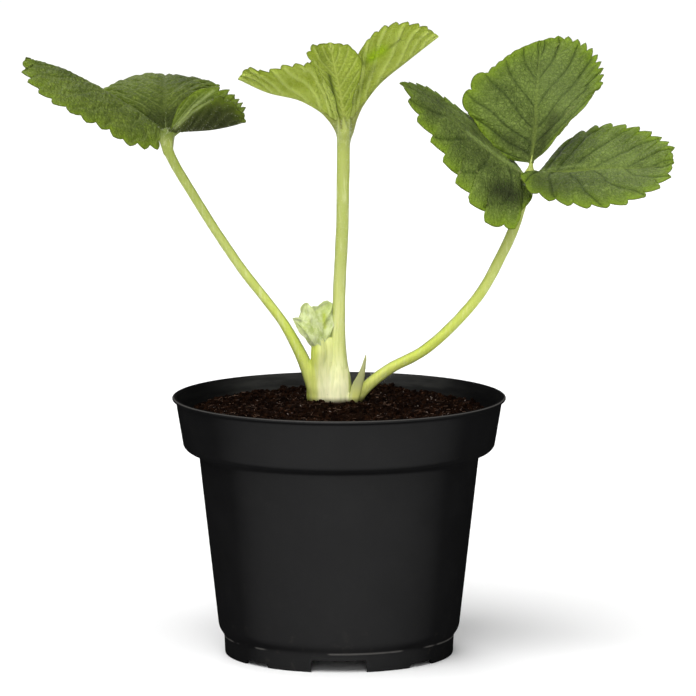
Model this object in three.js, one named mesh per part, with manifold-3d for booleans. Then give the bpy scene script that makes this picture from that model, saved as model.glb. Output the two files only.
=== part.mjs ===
// A young strawberry plant in a round black nursery pot.
// Millimetres, +Z up. The origin is the middle of the pot's foot, on the ground, and -Y faces the viewer.
import * as THREE from "three";
import { mergeVertices } from "three/addons/utils/BufferGeometryUtils.js";
import Module from "manifold-3d";

const wasm = await Module();
wasm.setup();

// Driving dimensions
const rimRadius = 60;
const potHeight = 93.3;
const wall = 1.3;
const footRadius = 41.2;
const bodyTopRadius = 50.5;
const collarBottom = 74.6;
const baseUnderside = 5.2;
const seatGap = 0.3; // between pieces that touch
const soilEdgeLevel = 86;
const soilMound = 4.2; // rise of the soil towards the crown
const crownPlace = { x: -0.7, y: 5 };
const crownFlattening = 0.82;
const soilHoleRadius = 10.2;
const soilHoleFloor = 75;
const soilHoleCut = 40; // length of the cutter, which comes out above the soil
const bladeThickness = 0.7;
const ribDepth = 0.6; // how far a midrib stands below its blade

const colours = {
  pot: { color: 0x17181a, roughness: 0.42, metalness: 0 },
  soil: { color: 0x2b2019, roughness: 0.95, metalness: 0 },
  crown: { color: 0xc9c48a, roughness: 0.6, metalness: 0 },
  stalk: { color: 0xa3b553, roughness: 0.55, metalness: 0 },
  blade: { color: 0x557a2c, roughness: 0.5, metalness: 0 },
  paleBlade: { color: 0xa9bf5c, roughness: 0.6, metalness: 0 },
  newBlade: { color: 0xbfd08f, roughness: 0.65, metalness: 0 },
};

const plant = new THREE.Group();

function addPiece(name, geometry, colour) {
  const piece = new THREE.Mesh(geometry, new THREE.MeshStandardMaterial(colour));
  piece.name = name;
  plant.add(piece);
}

function vector(point) {
  return new THREE.Vector3(point[0], point[1], point[2]);
}

function smoothCurve(points) {
  return new THREE.CatmullRomCurve3(points, false, "centripetal");
}

function pathLength(stops) {
  return smoothCurve(stops.map(vector)).getLength();
}

// A closed solid for the booleans, from a geometry whose shared points are merged.
function toSolid(geometry) {
  const bare = geometry.clone();
  bare.deleteAttribute("normal");
  bare.deleteAttribute("uv");
  const merged = mergeVertices(bare, 1e-4);
  return new wasm.Manifold(
    new wasm.Mesh({
      numProp: 3,
      vertProperties: new Float32Array(merged.attributes.position.array),
      triVerts: new Uint32Array(merged.index.array),
    }),
  );
}

function toGeometry(solid) {
  const mesh = solid.getMesh();
  const geometry = new THREE.BufferGeometry();
  geometry.setAttribute("position", new THREE.BufferAttribute(mesh.vertProperties, 3));
  geometry.setIndex(new THREE.BufferAttribute(mesh.triVerts, 1));
  geometry.computeVertexNormals();
  return geometry;
}

// A round piece from its profile of [radius, height] points, turned about +Z.
function turned(profile, segments) {
  const points = profile.map(([radius, height]) => new THREE.Vector2(radius, height));
  return new THREE.LatheGeometry(points, segments).rotateX(Math.PI / 2);
}

// A numbered random source, so that each run gives the same lumps.
function seededRandom(seed) {
  let state = seed;
  return () => {
    state = (state * 1664525 + 1013904223) % 4294967296;
    return state / 4294967296;
  };
}

// Pot: thin moulded wall, a stepped collar under a narrow lip, and a raised base on a notched foot ring.
function potShell() {
  const profile = [
    [0, 0],
    [8, 0],
    [8.6, baseUnderside],
    [23.4, baseUnderside],
    [23.6, 0.9],
    [24.6, 0.9],
    [24.8, baseUnderside],
    [footRadius - wall - 0.1, baseUnderside],
    [footRadius - wall, 0],
    [footRadius, 0],
    [footRadius + 0.3, 6.8],
    [43.4, 9.6],
    [bodyTopRadius, collarBottom - 1.6],
    [bodyTopRadius + 4.1, collarBottom - 0.4],
    [56, collarBottom + 1],
    [58.6, potHeight - 2.2],
    [rimRadius, potHeight - 1.4],
    [rimRadius, potHeight - 0.4],
    [rimRadius - 0.5, potHeight],
    [57.6, potHeight],
    [57.2, potHeight - 1],
    [54.6, collarBottom + 1],
    [bodyTopRadius - wall, collarBottom - 0.6],
    [42.1, 10.2],
    [39.6, baseUnderside + wall],
    [0, baseUnderside + wall],
  ];
  return turned(profile, 64);
}

// A notch in a foot wall, wider at the ground than at its top.
function footNotch(topWidth, bottomWidth, height, innerRadius, outerRadius, angle) {
  const outline = new THREE.Shape();
  outline.moveTo(-bottomWidth / 2, -1);
  outline.lineTo(bottomWidth / 2, -1);
  outline.lineTo(topWidth / 2, height);
  outline.lineTo(-topWidth / 2, height);
  outline.closePath();
  const depth = outerRadius - innerRadius;
  const notch = new THREE.ExtrudeGeometry(outline, { depth, bevelEnabled: false });
  notch.rotateX(Math.PI / 2).translate(0, -innerRadius, 0);
  return toSolid(notch.rotateZ(THREE.MathUtils.degToRad(angle)));
}

function pot() {
  let shell = toSolid(potShell());
  for (const angle of [0, 180]) {
    shell = shell.subtract(footNotch(19.4, 19.8, 4.4, 34, 46, angle));
    shell = shell.subtract(footNotch(7.8, 14, baseUnderside - 0.4, 20, 28, angle));
  }
  for (const angle of [46, 134, 226, 314]) {
    shell = shell.subtract(footNotch(11, 12, 1.6, 34, 46, angle));
  }
  const drainRadius = 4;
  const drainCircle = 32;
  for (let i = 0; i < 6; i += 1) {
    const drain = new THREE.CylinderGeometry(drainRadius, drainRadius, 10, 16).rotateX(Math.PI / 2);
    drain.translate(drainCircle, 0, baseUnderside).rotateZ(((i + 0.5) * Math.PI) / 3);
    shell = shell.subtract(toSolid(drain));
  }
  return toGeometry(shell);
}

// Soil: fills the pot, higher towards the crown and the back, with low seeded lumps.
const lumpCount = 46;
const moundSpread = 26;
const backwardRise = 0.018;

function soilRise(x, y, lumps) {
  const fromCrown = Math.hypot(x - crownPlace.x, y - crownPlace.y);
  let rise = soilMound * Math.exp(-((fromCrown / moundSpread) ** 2)) + y * backwardRise;
  for (const lump of lumps) {
    const apart = Math.hypot(x - lump.x, y - lump.y) / lump.spread;
    rise += lump.height * Math.exp(-apart * apart);
  }
  return rise;
}

function soil() {
  const random = seededRandom(7);
  const lumps = [];
  for (let i = 0; i < lumpCount; i += 1) {
    const around = random() * Math.PI * 2;
    const out = 12 + 40 * Math.sqrt(random());
    const spread = 3.5 + 4 * random();
    const height = 2.2 * random() - 0.9;
    lumps.push({ x: out * Math.cos(around), y: out * Math.sin(around), spread, height });
  }
  const floor = baseUnderside + wall + seatGap;
  const edgeRadius = 55.8;
  const profile = [
    [0, floor],
    [39.2, floor],
    [41.7, 10.4],
    [bodyTopRadius - wall - 0.4, collarBottom - 0.2],
    [54.2, collarBottom + 1.4],
    [edgeRadius, soilEdgeLevel - 0.6],
    [53.5, soilEdgeLevel],
    [48.5, soilEdgeLevel],
    [42, soilEdgeLevel],
    [35, soilEdgeLevel],
    [28, soilEdgeLevel],
    [21, soilEdgeLevel],
    [14, soilEdgeLevel],
    [7, soilEdgeLevel],
    [0, soilEdgeLevel],
  ];
  const heap = turned(profile, 48);
  const place = heap.attributes.position;
  for (let i = 0; i < place.count; i += 1) {
    if (place.getZ(i) > soilEdgeLevel - 1) {
      const fade = place.getZ(i) < soilEdgeLevel - 0.1 ? 0.3 : 1;
      place.setZ(i, place.getZ(i) + fade * soilRise(place.getX(i), place.getY(i), lumps));
    }
  }
  const hole = new THREE.CylinderGeometry(soilHoleRadius, soilHoleRadius, soilHoleCut, 24);
  hole.rotateX(Math.PI / 2).scale(1, crownFlattening, 1);
  hole.translate(crownPlace.x, crownPlace.y, soilHoleFloor + soilHoleCut / 2);
  return toGeometry(toSolid(heap).subtract(toSolid(hole)));
}

// A closed tube along part of a smooth path. Each stop is [x, y, z, radius], and squash flattens it along Y.
function stalk(stops, sides, steps, from = 0, to = 1, squash = 1) {
  const path = smoothCurve(stops.map(vector));
  const radii = stops.map((stop) => stop[3]);
  const reach = stops.map((_, i) => (i === 0 ? 0 : pathLength(stops.slice(0, i + 1)) / pathLength(stops)));
  const position = [];
  const index = [];
  for (let i = 0; i <= steps; i += 1) {
    const along = from + ((to - from) * i) / steps;
    const centre = path.getPointAt(along);
    const forward = path.getTangentAt(along);
    const side = new THREE.Vector3(0, -1, 0).cross(forward).normalize();
    const front = side.clone().cross(forward);
    let k = 1;
    while (k < reach.length - 1 && reach[k] < along) k += 1;
    const share = THREE.MathUtils.clamp((along - reach[k - 1]) / (reach[k] - reach[k - 1]), 0, 1);
    const radius = THREE.MathUtils.lerp(radii[k - 1], radii[k], share);
    for (let j = 0; j < sides; j += 1) {
      const turn = (j / sides) * Math.PI * 2;
      const point = centre.clone().addScaledVector(side, radius * Math.cos(turn));
      point.addScaledVector(front, radius * squash * Math.sin(turn));
      position.push(point.x, point.y, point.z);
    }
  }
  for (let i = 0; i < steps; i += 1) {
    for (let j = 0; j < sides; j += 1) {
      const a = i * sides + j;
      const b = i * sides + ((j + 1) % sides);
      index.push(a, a + sides, b, b, a + sides, b + sides);
    }
  }
  for (let j = 1; j < sides - 1; j += 1) {
    const last = steps * sides;
    index.push(0, j, j + 1, last, last + j + 1, last + j);
  }
  return closed(position, index);
}

// A geometry from its points and triangles, turned right side out if its faces point inwards.
function closed(position, index) {
  const geometry = new THREE.BufferGeometry();
  geometry.setAttribute("position", new THREE.Float32BufferAttribute(position, 3));
  geometry.setIndex(index);
  let volume = 0;
  for (let i = 0; i < index.length; i += 3) {
    const [a, b, c] = [0, 1, 2].map((k) => vector(position.slice(index[i + k] * 3, index[i + k] * 3 + 3)));
    volume += a.dot(b.cross(c));
  }
  if (volume < 0) geometry.setIndex(index.slice().reverse());
  geometry.computeVertexNormals();
  return geometry;
}

// Leaf stalks, from inside the crown to the point where their three leaflets meet: [x, y, z, radius]
const stalks = {
  left: [
    [-5.5, 5, 84, 2.6],
    [-7.2, 4.6, 90, 2.6],
    [-8.8, 4, 95, 2.6],
    [-12.6, 3, 105.5, 2.3],
    [-19.4, 3, 118.5, 1.8],
    [-36.3, 3, 141, 1.7],
    [-50.7, 3, 163.3, 1.7],
    [-61, 3, 181.5, 1.9],
    [-62, 3, 187, 2.5],
  ],
  centre: [
    [-1.3, 5, 84, 5.8],
    [-1.3, 5, 95, 5.9],
    [-0.9, 4.4, 108, 3.8],
    [-0.2, 3, 119, 2.5],
    [0.2, 2, 133.5, 2.3],
    [1, 1, 148.5, 2.3],
    [1.4, 0, 164, 2.3],
    [1.7, 0, 189.6, 2.4],
  ],
  right: [
    [3.5, 6, 84, 2.2],
    [5.8, 5.5, 90, 2.2],
    [8.6, 5, 94.5, 2.2],
    [17.6, 3, 102.3, 2],
    [30.2, 0, 109.6, 1.9],
    [40.6, -2, 119, 1.9],
    [50.7, -3, 131, 1.9],
    [57.5, -3, 143.3, 1.9],
    [62.9, -2.5, 155.3, 1.9],
    [67.6, -3, 172, 1.9],
  ],
};
const hubDepth = 2.2; // how far below a stalk's top its stalklets start
const sheathLength = { left: 24.5, centre: 22.5, right: 15 }; // the part of each stalk that the crown holds
const stalkSquash = { left: 1, centre: 0.88, right: 1 }; // depth of each stalk's section over its width

// Leaflets: hand-placed points along the midrib and the two margins, from the base to the tip. start is the
// share of each margin where the evenly spaced rows begin, and bare is the share that has no teeth.
const leaflets = {
  left_outer: {
    mid: [[-64, 2, 190], [-73.5, 1, 197.5], [-86, 0, 205.5], [-99.5, -2, 212.5], [-111.5, -4, 216]],
    left: [[-67, -7, 188], [-75.8, -17, 187.8], [-81.5, -19, 191.8], [-90.3, -24, 197.2],
      [-99.4, -24, 202.3], [-107.6, -18, 208], [-110.8, -10, 212.6]],
    right: [[-71, 13, 191], [-82.5, 20, 198], [-96, 19, 203.5], [-106.5, 10, 210]],
    teeth: 12,
    start: [0.14, 0.35],
    toothDepth: [2.5, 2.5],
    arch: [1.5, 0.4],
    lean: 1.7,
  },
  left_middle: {
    mid: [[-62, 5.5, 190.5], [-62.5, 15, 200], [-63, 26, 205.5], [-63, 38, 205.5], [-63, 50, 200]],
    left: [[-72, 9, 194.8], [-82, 20, 201.8], [-83.3, 32, 201.6], [-77.5, 44, 201.8], [-69, 50, 201]],
    right: [[-52, 10, 196.5], [-48, 20, 202.5], [-45.5, 32, 202], [-49, 44, 199.5], [-56.5, 50, 198.5]],
    teeth: 10,
    start: [0.35, 0.35],
    toothDepth: [2.4, 2.4],
    arch: [3, 3],
    lean: 1.5,
  },
  left_inner: {
    mid: [[-60.2, 0.6, 189.4], [-53.5, -6, 190.5], [-44.5, -14, 192], [-37.5, -20, 194], [-33.6, -24, 195.6]],
    left: [[-57, 6, 198], [-49.5, 9, 203.4], [-42, 3, 202.6], [-38, -6, 200.4], [-35.2, -15, 198.4]],
    right: [[-55.7, -8, 193.2], [-50.3, -18, 200], [-42.4, -24.5, 202.8], [-36.8, -27, 200.5]],
    teeth: 9,
    start: [0.4, 0.25],
    bare: [0.34, 0.62],
    toothDepth: [2.2, 2.2],
    arch: [-0.5, -0.5],
    lean: 1.6,
  },
  centre_left: {
    mid: [[0.5, 2, 191], [-3.7, 0, 195], [-13.2, -2, 200.9], [-25.5, -4, 204.2], [-35.5, -6, 209]],
    left: [[-0.5, -4, 200], [-7, -9, 212], [-17.5, -13, 213.5], [-26, -12, 211], [-32.5, -9, 212]],
    right: [[-1.5, 6, 197], [-8.5, 9, 209], [-17.5, 8, 209.5], [-26, 3, 208.5], [-32.5, -2, 210.5]],
    teeth: 8,
    start: [0.4, 0.4],
    toothDepth: [1.7, 1.7],
    arch: [0.5, 0.5],
    lean: 1.9,
  },
  centre_middle: {
    mid: [[2, -3.5, 192], [1, -10, 200.5], [-0.8, -17, 210.2], [-2.2, -22, 217.4], [-3, -24, 222.6]],
    left: [[0.4, -4.2, 193], [-1, -9, 200], [-6, -14, 211], [-9.8, -17, 216.4], [-9.6, -19, 220],
      [-7, -22, 222]],
    right: [[3.6, -4.2, 193.2], [5, -9, 201.5], [7.8, -14, 209.8], [8, -17, 216], [5.2, -19, 220],
      [1.2, -22, 222]],
    teeth: 8,
    start: [0.2, 0.2],
    bare: [0.42, 0.42],
    toothDepth: [1.6, 1.6],
    arch: [0.5, 0.5],
    lean: 1.4,
  },
  centre_right: {
    mid: [[3.6, 2, 191.3], [6.5, 1, 196.6], [13.4, -1, 206.2], [24.5, -3, 215.6], [35, -5, 224]],
    left: [[3.5, 7, 197.5], [7, 10, 208], [12, 9, 218.5], [20.5, 4, 225], [29, -1, 225.5]],
    right: [[4, -3, 199.5], [5.4, -8, 211.5], [7.8, -11, 219.4], [12.6, -13, 224.8], [20.5, -13, 228],
      [30, -9, 227]],
    teeth: 9,
    start: [0.4, 0.45],
    bare: [0, 0.5],
    toothDepth: [1.6, 1.6],
    arch: [0.5, 0.5],
    lean: 1.9,
  },
  right_inner: {
    mid: [[66, -6, 174.5], [58, -8, 180], [45.5, -9, 189.5], [32.5, -8, 201], [22, -6, 207.5]],
    left: [[69, -12, 167.5], [64.5, -19, 162.5], [58, -22, 158], [49.8, -23, 165.3], [42.5, -23, 175.4],
      [35.6, -21, 186.7], [28.4, -18, 197], [25, -12, 203.5]],
    right: [[63, 6, 177.5], [55, 14, 184], [44.5, 16, 195], [36.5, 11, 200.5], [27.5, 2, 205.5]],
    teeth: 12,
    start: [0.22, 0.4],
    toothDepth: [2.5, 2.5],
    arch: [2, 0.4],
    lean: 1.8,
  },
  right_middle: {
    mid: [[68.5, -4, 178], [70, 4, 186.5], [71, 15, 199], [72.2, 25, 210], [73.5, 33, 218.8]],
    left: [[58, 0, 183], [50, 6, 190.4], [46.2, 10, 198.6], [49.4, 14, 204.8], [54.2, 19, 208.6],
      [59, 24, 212.2], [64.5, 28.5, 215.4], [70, 31.5, 217.8]],
    right: [[74.5, -6, 183.5], [80.5, -1, 191], [89, 6, 198], [93, 13, 205], [92, 22, 212.4],
      [87, 29, 217], [80, 33, 219]],
    teeth: 11,
    start: [0.38, 0.5],
    toothDepth: [1.3, 2.4],
    arch: [1.5, 1],
    lean: 1.7,
  },
  right_outer: {
    mid: [[71, -5, 175], [79.5, -5, 175], [95.5, -6, 176.5], [110, -8, 177], [119.2, -10, 179.5]],
    left: [[73, 0, 175.5], [76, 6, 179.2], [82.5, 13, 184.3], [94, 15, 188.5], [105.5, 12, 188],
      [113, 6, 185.5], [117.2, -2, 183]],
    right: [[64.5, -14, 175], [67.5, -20, 171], [78.5, -25, 167], [94, -27, 166], [106.5, -25, 169],
      [115.2, -18, 174]],
    teeth: 12,
    start: [0.34, 0.2],
    toothDepth: [2.4, 2.4],
    arch: [1, 1.5],
    lean: 1.9,
  },
};
const baseShare = 0.3; // the share of the rows that lies below the first tooth
const baseRows = 3;
const bladeColumns = 3; // columns in each half of a blade
const baseHalfWidth = 0.7; // how far each margin starts from the base of the midrib
const tipHalfWidth = 1.2; // and how far from its tip the margin ends
const firstRowEnd = 0.07; // where on a margin the first row ends, as a share of the margin's length
const evenPart = 0.1; // the part of the rows' spacing on the midrib that is even; the rest crowds at the base
const toothSlant = 0.45; // how far a tooth leans along the margin for each part that it stands out
const toothFade = 0.15; // the share of a blade over which teeth grow smaller, at the tip or a bare stretch
const eveningPasses = 6; // times that the directions of a blade's thickness are averaged
const crossWeight = 0.25; // weight of the neighbours across the blade in that average

// The end point of one margin: a little way from the end of the midrib, towards the margin's next point.
function besideMidrib(end, neighbour, distance) {
  return end.clone().add(neighbour.clone().sub(end).setLength(distance));
}

// One half of a blade: rows of points from the midrib out to the toothed margin.
function halfBlade(leaflet, half, stations) {
  const mid = smoothCurve(leaflet.mid.map(vector));
  const margin = (half === 0 ? leaflet.left : leaflet.right).map(vector);
  margin.unshift(besideMidrib(mid.getPointAt(0), margin[0], baseHalfWidth));
  margin.push(besideMidrib(mid.getPointAt(1), margin[margin.length - 1], tipHalfWidth));
  const edge = smoothCurve(margin);
  const start = leaflet.start[half];
  return stations.map((station) => {
    const onMid = (1 - evenPart) * station ** leaflet.lean + evenPart * station;
    const origin = mid.getPointAt(onMid);
    const forward = mid.getTangentAt(onMid);
    const toothed = (station - baseShare) / (1 - baseShare);
    const belowTeeth = firstRowEnd + (station / baseShare) * (start - firstRowEnd);
    const onEdge = Math.min(toothed < 0 ? belowTeeth : start + toothed * (1 - start), 1);
    const end = edge.getPointAt(onEdge);
    const alongEdge = edge.getTangentAt(onEdge);
    const outward = end.clone().sub(origin);
    outward.addScaledVector(alongEdge, -outward.dot(alongEdge)).normalize();
    outward.addScaledVector(alongEdge, toothSlant).normalize();
    const phase = (toothed * leaflet.teeth) % 1;
    const atTooth = toothed > 0 && phase > 0.3 && phase < 0.9;
    const nearTip = Math.min(1, (1 - station) / toothFade);
    const pastBare = THREE.MathUtils.clamp((onEdge - (leaflet.bare?.[half] ?? 0)) / toothFade, 0, 1);
    if (atTooth) end.addScaledVector(outward, leaflet.toothDepth[half] * nearTip * pastBare);
    const across = end.clone().sub(origin);
    const up = across.clone().cross(forward).multiplyScalar(half === 0 ? -1 : 1).normalize();
    const bulge = leaflet.arch[half] * Math.sin(Math.PI * station ** 0.8);
    const row = [];
    for (let j = 0; j <= bladeColumns; j += 1) {
      const out = j / bladeColumns;
      const point = origin.clone().addScaledVector(across, out);
      row.push(point.addScaledVector(up, bulge * 4 * out * (1 - out)));
    }
    return row;
  });
}

// The direction of a blade's thickness at each of its points: the normals, evened out along the blade.
function thicknessDirections(upper, columns) {
  const normal = upper.attributes.normal;
  let directions = [];
  for (let i = 0; i < normal.count; i += 1) {
    directions.push(new THREE.Vector3().fromBufferAttribute(normal, i));
  }
  for (let pass = 0; pass < eveningPasses; pass += 1) {
    directions = directions.map((direction, i) => {
      const sum = direction.clone();
      if (i >= columns) sum.add(directions[i - columns]);
      if (i + columns < normal.count) sum.add(directions[i + columns]);
      if (i % columns > 0) sum.addScaledVector(directions[i - 1], crossWeight);
      if (i % columns < columns - 1) sum.addScaledVector(directions[i + 1], crossWeight);
      return sum.normalize();
    });
  }
  return directions;
}

// A blade: its upper face, and the same face again one thickness below, joined round the margin.
function blade(leaflet) {
  const stations = [];
  for (let i = 0; i < baseRows; i += 1) {
    stations.push((i / baseRows) * baseShare);
  }
  for (let i = 0; i < leaflet.teeth; i += 1) {
    stations.push(baseShare + ((1 - baseShare) * i) / leaflet.teeth);
    stations.push(baseShare + ((1 - baseShare) * (i + 0.6)) / leaflet.teeth);
  }
  stations.push(1);
  const left = halfBlade(leaflet, 0, stations);
  const right = halfBlade(leaflet, 1, stations);
  const rows = left.map((row, i) => [...row.slice().reverse(), ...right[i].slice(1)]);
  const columns = 2 * bladeColumns + 1;
  const top = rows.flat();
  const face = [];
  for (let i = 0; i < rows.length - 1; i += 1) {
    for (let j = 0; j < columns - 1; j += 1) {
      const a = i * columns + j;
      const [b, c, d] = [a + 1, a + columns + 1, a + columns];
      face.push(...(j < bladeColumns ? [[a, b, d], [b, c, d]] : [[a, b, c], [a, c, d]]));
    }
  }
  const upper = new THREE.BufferGeometry().setFromPoints(top);
  upper.setIndex(face.flat());
  upper.computeVertexNormals();
  const position = top.flatMap((point) => point.toArray());
  const directions = thicknessDirections(upper, columns);
  top.forEach((point, i) => {
    const onRib = i % columns === bladeColumns;
    const depth = onRib ? bladeThickness + ribDepth * (1 - i / top.length) : bladeThickness;
    position.push(...point.clone().addScaledVector(directions[i], -depth).toArray());
  });
  const rim = [];
  for (let i = 0; i < rows.length; i += 1) rim.push(i * columns);
  for (let j = 1; j < columns; j += 1) rim.push((rows.length - 1) * columns + j);
  for (let i = rows.length - 2; i >= 0; i -= 1) rim.push(i * columns + columns - 1);
  for (let j = columns - 2; j > 0; j -= 1) rim.push(j);
  const index = face.flat();
  const count = top.length;
  for (const [a, b, c] of face) index.push(a + count, c + count, b + count);
  rim.forEach((a, i) => {
    const b = rim[(i + 1) % rim.length];
    index.push(a, b, a + count, b, b + count, a + count);
  });
  return closed(position, index);
}

// The crown: a short stem in the soil, with the sheaths of the stalks grown together and a pointed stipule.
const sheathWeb = [
  [-4.6, 3, 86, 4.6],
  [-6.2, 2.2, 97, 4.4],
  [-6.8, 1.4, 103, 3.4],
  [-6.9, 1, 106.2, 2.6],
];
const stipule = [
  [4.4, 1.6, 88, 2.4],
  [6.4, 0.8, 96, 2.3],
  [8.3, 0.3, 101.5, 1.3],
  [9.8, 0.2, 109, 0.3],
];

function crown() {
  const profile = [
    [0, 76.5],
    [6, 77],
    [8, 80],
    [9.1, 85],
    [9.3, 88.6],
    [7.8, 91],
    [5, 92.4],
    [0, 93],
  ];
  const heart = turned(profile, 20).scale(1, crownFlattening, 1).translate(crownPlace.x, crownPlace.y, 0);
  let body = toSolid(heart);
  for (const [name, stops] of Object.entries(stalks)) {
    const cut = sheathLength[name] / pathLength(stops);
    body = body.add(toSolid(stalk(stops, 12, 7, 0, cut, stalkSquash[name])));
  }
  body = body.add(toSolid(stalk(sheathWeb, 12, 7, 0, 1, 0.6)));
  body = body.add(toSolid(stalk(stipule, 8, 6, 0, 1, 0.5)));
  body = body.add(toSolid(stalk(youngStem, 10, 6, 0, youngSheath / pathLength(youngStem))));
  return toGeometry(body);
}

// The young leaf: still folded, three crumpled lobes on a short stem of its own.
const youngStem = [
  [-6, 1.6, 86, 2.4],
  [-7, 0.4, 97, 2.6],
  [-7, -0.2, 104.5, 2.8],
  [-6.8, -0.4, 112, 3],
];
const youngSheath = 23.2; // the part of its stem that the crown holds
const youngLobes = [
  [[-7, -0.6, 111, 2.2], [-9.4, -1.2, 115.8, 2.5], [-12.6, -1.6, 119.2, 2], [-16.2, -1.6, 121.6, 0.5]],
  [[-7, -0.4, 111, 2.4], [-9.4, -0.4, 117.5, 3.4], [-10.6, -0.4, 123, 3.2], [-11.2, -0.5, 127, 1.4]],
  [[-6.4, -0.4, 111, 2.4], [-6, -0.8, 117.5, 3.6], [-5.2, -1, 123, 3.2], [-4, -1, 127.6, 1.2]],
];

function youngLeaf() {
  const cut = (youngSheath + seatGap) / pathLength(youngStem);
  let leaf = toSolid(stalk(youngStem, 10, 3, cut, 1));
  for (const lobe of youngLobes) {
    leaf = leaf.add(toSolid(stalk(lobe, 10, 8, 0, 1, 0.5)));
  }
  return toGeometry(leaf);
}

// A leaf stalk above its sheath, with three short stalklets that end just short of the leaflets.
function petiole(name) {
  const stops = stalks[name];
  const cut = (sheathLength[name] + seatGap) / pathLength(stops);
  let body = toSolid(stalk(stops, 10, 18, cut, 1, stalkSquash[name]));
  const top = vector(stops[stops.length - 1]);
  const hub = top.clone().add(new THREE.Vector3(0, 0, -hubDepth));
  for (const [leafletName, leaflet] of Object.entries(leaflets)) {
    if (leafletName.startsWith(name)) {
      const base = vector(leaflet.mid[0]);
      const forward = smoothCurve(leaflet.mid.map(vector)).getTangentAt(0);
      const end = base.clone().addScaledVector(forward, -2 * seatGap);
      const middle = hub.clone().lerp(end, 0.5);
      const stalklet = [
        [...hub.toArray(), 1.3],
        [...middle.toArray(), 1.1],
        [...end.toArray(), 0.6],
      ];
      body = body.add(toSolid(stalk(stalklet, 8, 3)));
    }
  }
  return toGeometry(body);
}

addPiece("pot", pot(), colours.pot);
addPiece("soil", soil(), colours.soil);
addPiece("crown", crown(), colours.crown);
addPiece("young_leaf", youngLeaf(), colours.newBlade);
for (const name of Object.keys(stalks)) {
  addPiece(`${name}_petiole`, petiole(name), colours.stalk);
}
for (const [name, leaflet] of Object.entries(leaflets)) {
  const colour = name.startsWith("centre") ? colours.paleBlade : colours.blade;
  addPiece(`${name}_leaflet`, blade(leaflet), colour);
}

export default plant;
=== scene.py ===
import math

import bmesh
import bpy
import numpy as np
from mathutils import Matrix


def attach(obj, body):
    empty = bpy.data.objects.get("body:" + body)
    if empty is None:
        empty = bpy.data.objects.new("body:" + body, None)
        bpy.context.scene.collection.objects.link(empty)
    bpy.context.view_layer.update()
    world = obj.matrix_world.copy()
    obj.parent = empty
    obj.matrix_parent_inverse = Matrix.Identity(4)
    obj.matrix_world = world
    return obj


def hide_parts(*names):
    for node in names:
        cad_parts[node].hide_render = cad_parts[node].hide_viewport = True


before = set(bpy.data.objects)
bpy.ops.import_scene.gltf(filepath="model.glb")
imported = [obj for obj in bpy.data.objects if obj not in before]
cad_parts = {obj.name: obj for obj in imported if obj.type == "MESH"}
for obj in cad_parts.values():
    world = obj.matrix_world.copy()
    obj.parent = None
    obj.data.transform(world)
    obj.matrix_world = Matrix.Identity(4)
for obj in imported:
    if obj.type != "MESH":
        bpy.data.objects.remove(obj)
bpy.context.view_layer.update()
print("frame loaded:", ", ".join(sorted(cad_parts)))

mm = 0.001


# helpers for meshes, with points and radii in millimetres until meshFrom is called

def placed(name, data):
    item = bpy.data.objects.new(name, data)
    bpy.context.scene.collection.objects.link(item)
    return item


def newPiece(name, mesh, material):
    piece = placed(name, mesh)
    mesh.materials.append(material)
    mesh.shade_smooth()
    return piece


def meshFrom(name, points, faces):
    mesh = bpy.data.meshes.new(name)
    mesh.from_pydata([tuple(p) for p in points], [], [tuple(int(i) for i in f) for f in faces])
    mesh.validate()
    mesh.update()
    return mesh


def joinParts(parts):  # one list of points and faces from several
    points, faces = [], []
    for morePoints, moreFaces in parts:
        first = sum(len(p) for p in points)
        points.append(np.asarray(morePoints))
        faces += [tuple(i + first for i in face) for face in moreFaces]
    return np.vstack(points), faces


def ringFaces(rings, turns):  # the quads between closed rings of points
    faces = []
    for i in range(rings - 1):
        for j in range(turns):
            k = (j + 1) % turns
            faces.append((i * turns + j, i * turns + k, (i + 1) * turns + k, (i + 1) * turns + j))
    return faces


def outward(mesh):
    work = bmesh.new()
    work.from_mesh(mesh)
    bmesh.ops.remove_doubles(work, verts=work.verts, dist=1e-6)
    bmesh.ops.recalc_face_normals(work, faces=work.faces)
    work.to_mesh(mesh)
    work.free()


def evaluatedCopy(source, name, material):  # the object with its modifiers taken into a plain mesh
    graph = bpy.context.evaluated_depsgraph_get()
    mesh = bpy.data.meshes.new_from_object(source.evaluated_get(graph), depsgraph=graph)
    mesh.name = name
    if not mesh.materials:
        mesh.materials.append(material)
    return mesh


def applyModifiers(piece, meshName):
    piece.data = evaluatedCopy(piece, meshName, piece.data.materials[0])
    piece.modifiers.clear()


def pointsOf(mesh):
    flat = np.empty(len(mesh.vertices) * 3, dtype=np.float32)
    mesh.vertices.foreach_get("co", flat)
    return flat.reshape(-1, 3) / mm


def setNumbers(mesh, name, numbers):  # one number for each vertex
    layer = mesh.attributes.get(name) or mesh.attributes.new(name, "FLOAT", "POINT")
    layer.data.foreach_set("value", np.asarray(numbers, dtype=np.float32).ravel())


def setColours(mesh, name, colours):  # four numbers for each vertex
    layer = mesh.attributes.new(name, "FLOAT_COLOR", "POINT")
    layer.data.foreach_set("color", np.asarray(colours, dtype=np.float32).ravel())


# helpers for curves and soft shapes

def unit(vectors):
    return vectors / (np.linalg.norm(vectors, axis=-1, keepdims=True) + 1e-12)


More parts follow.
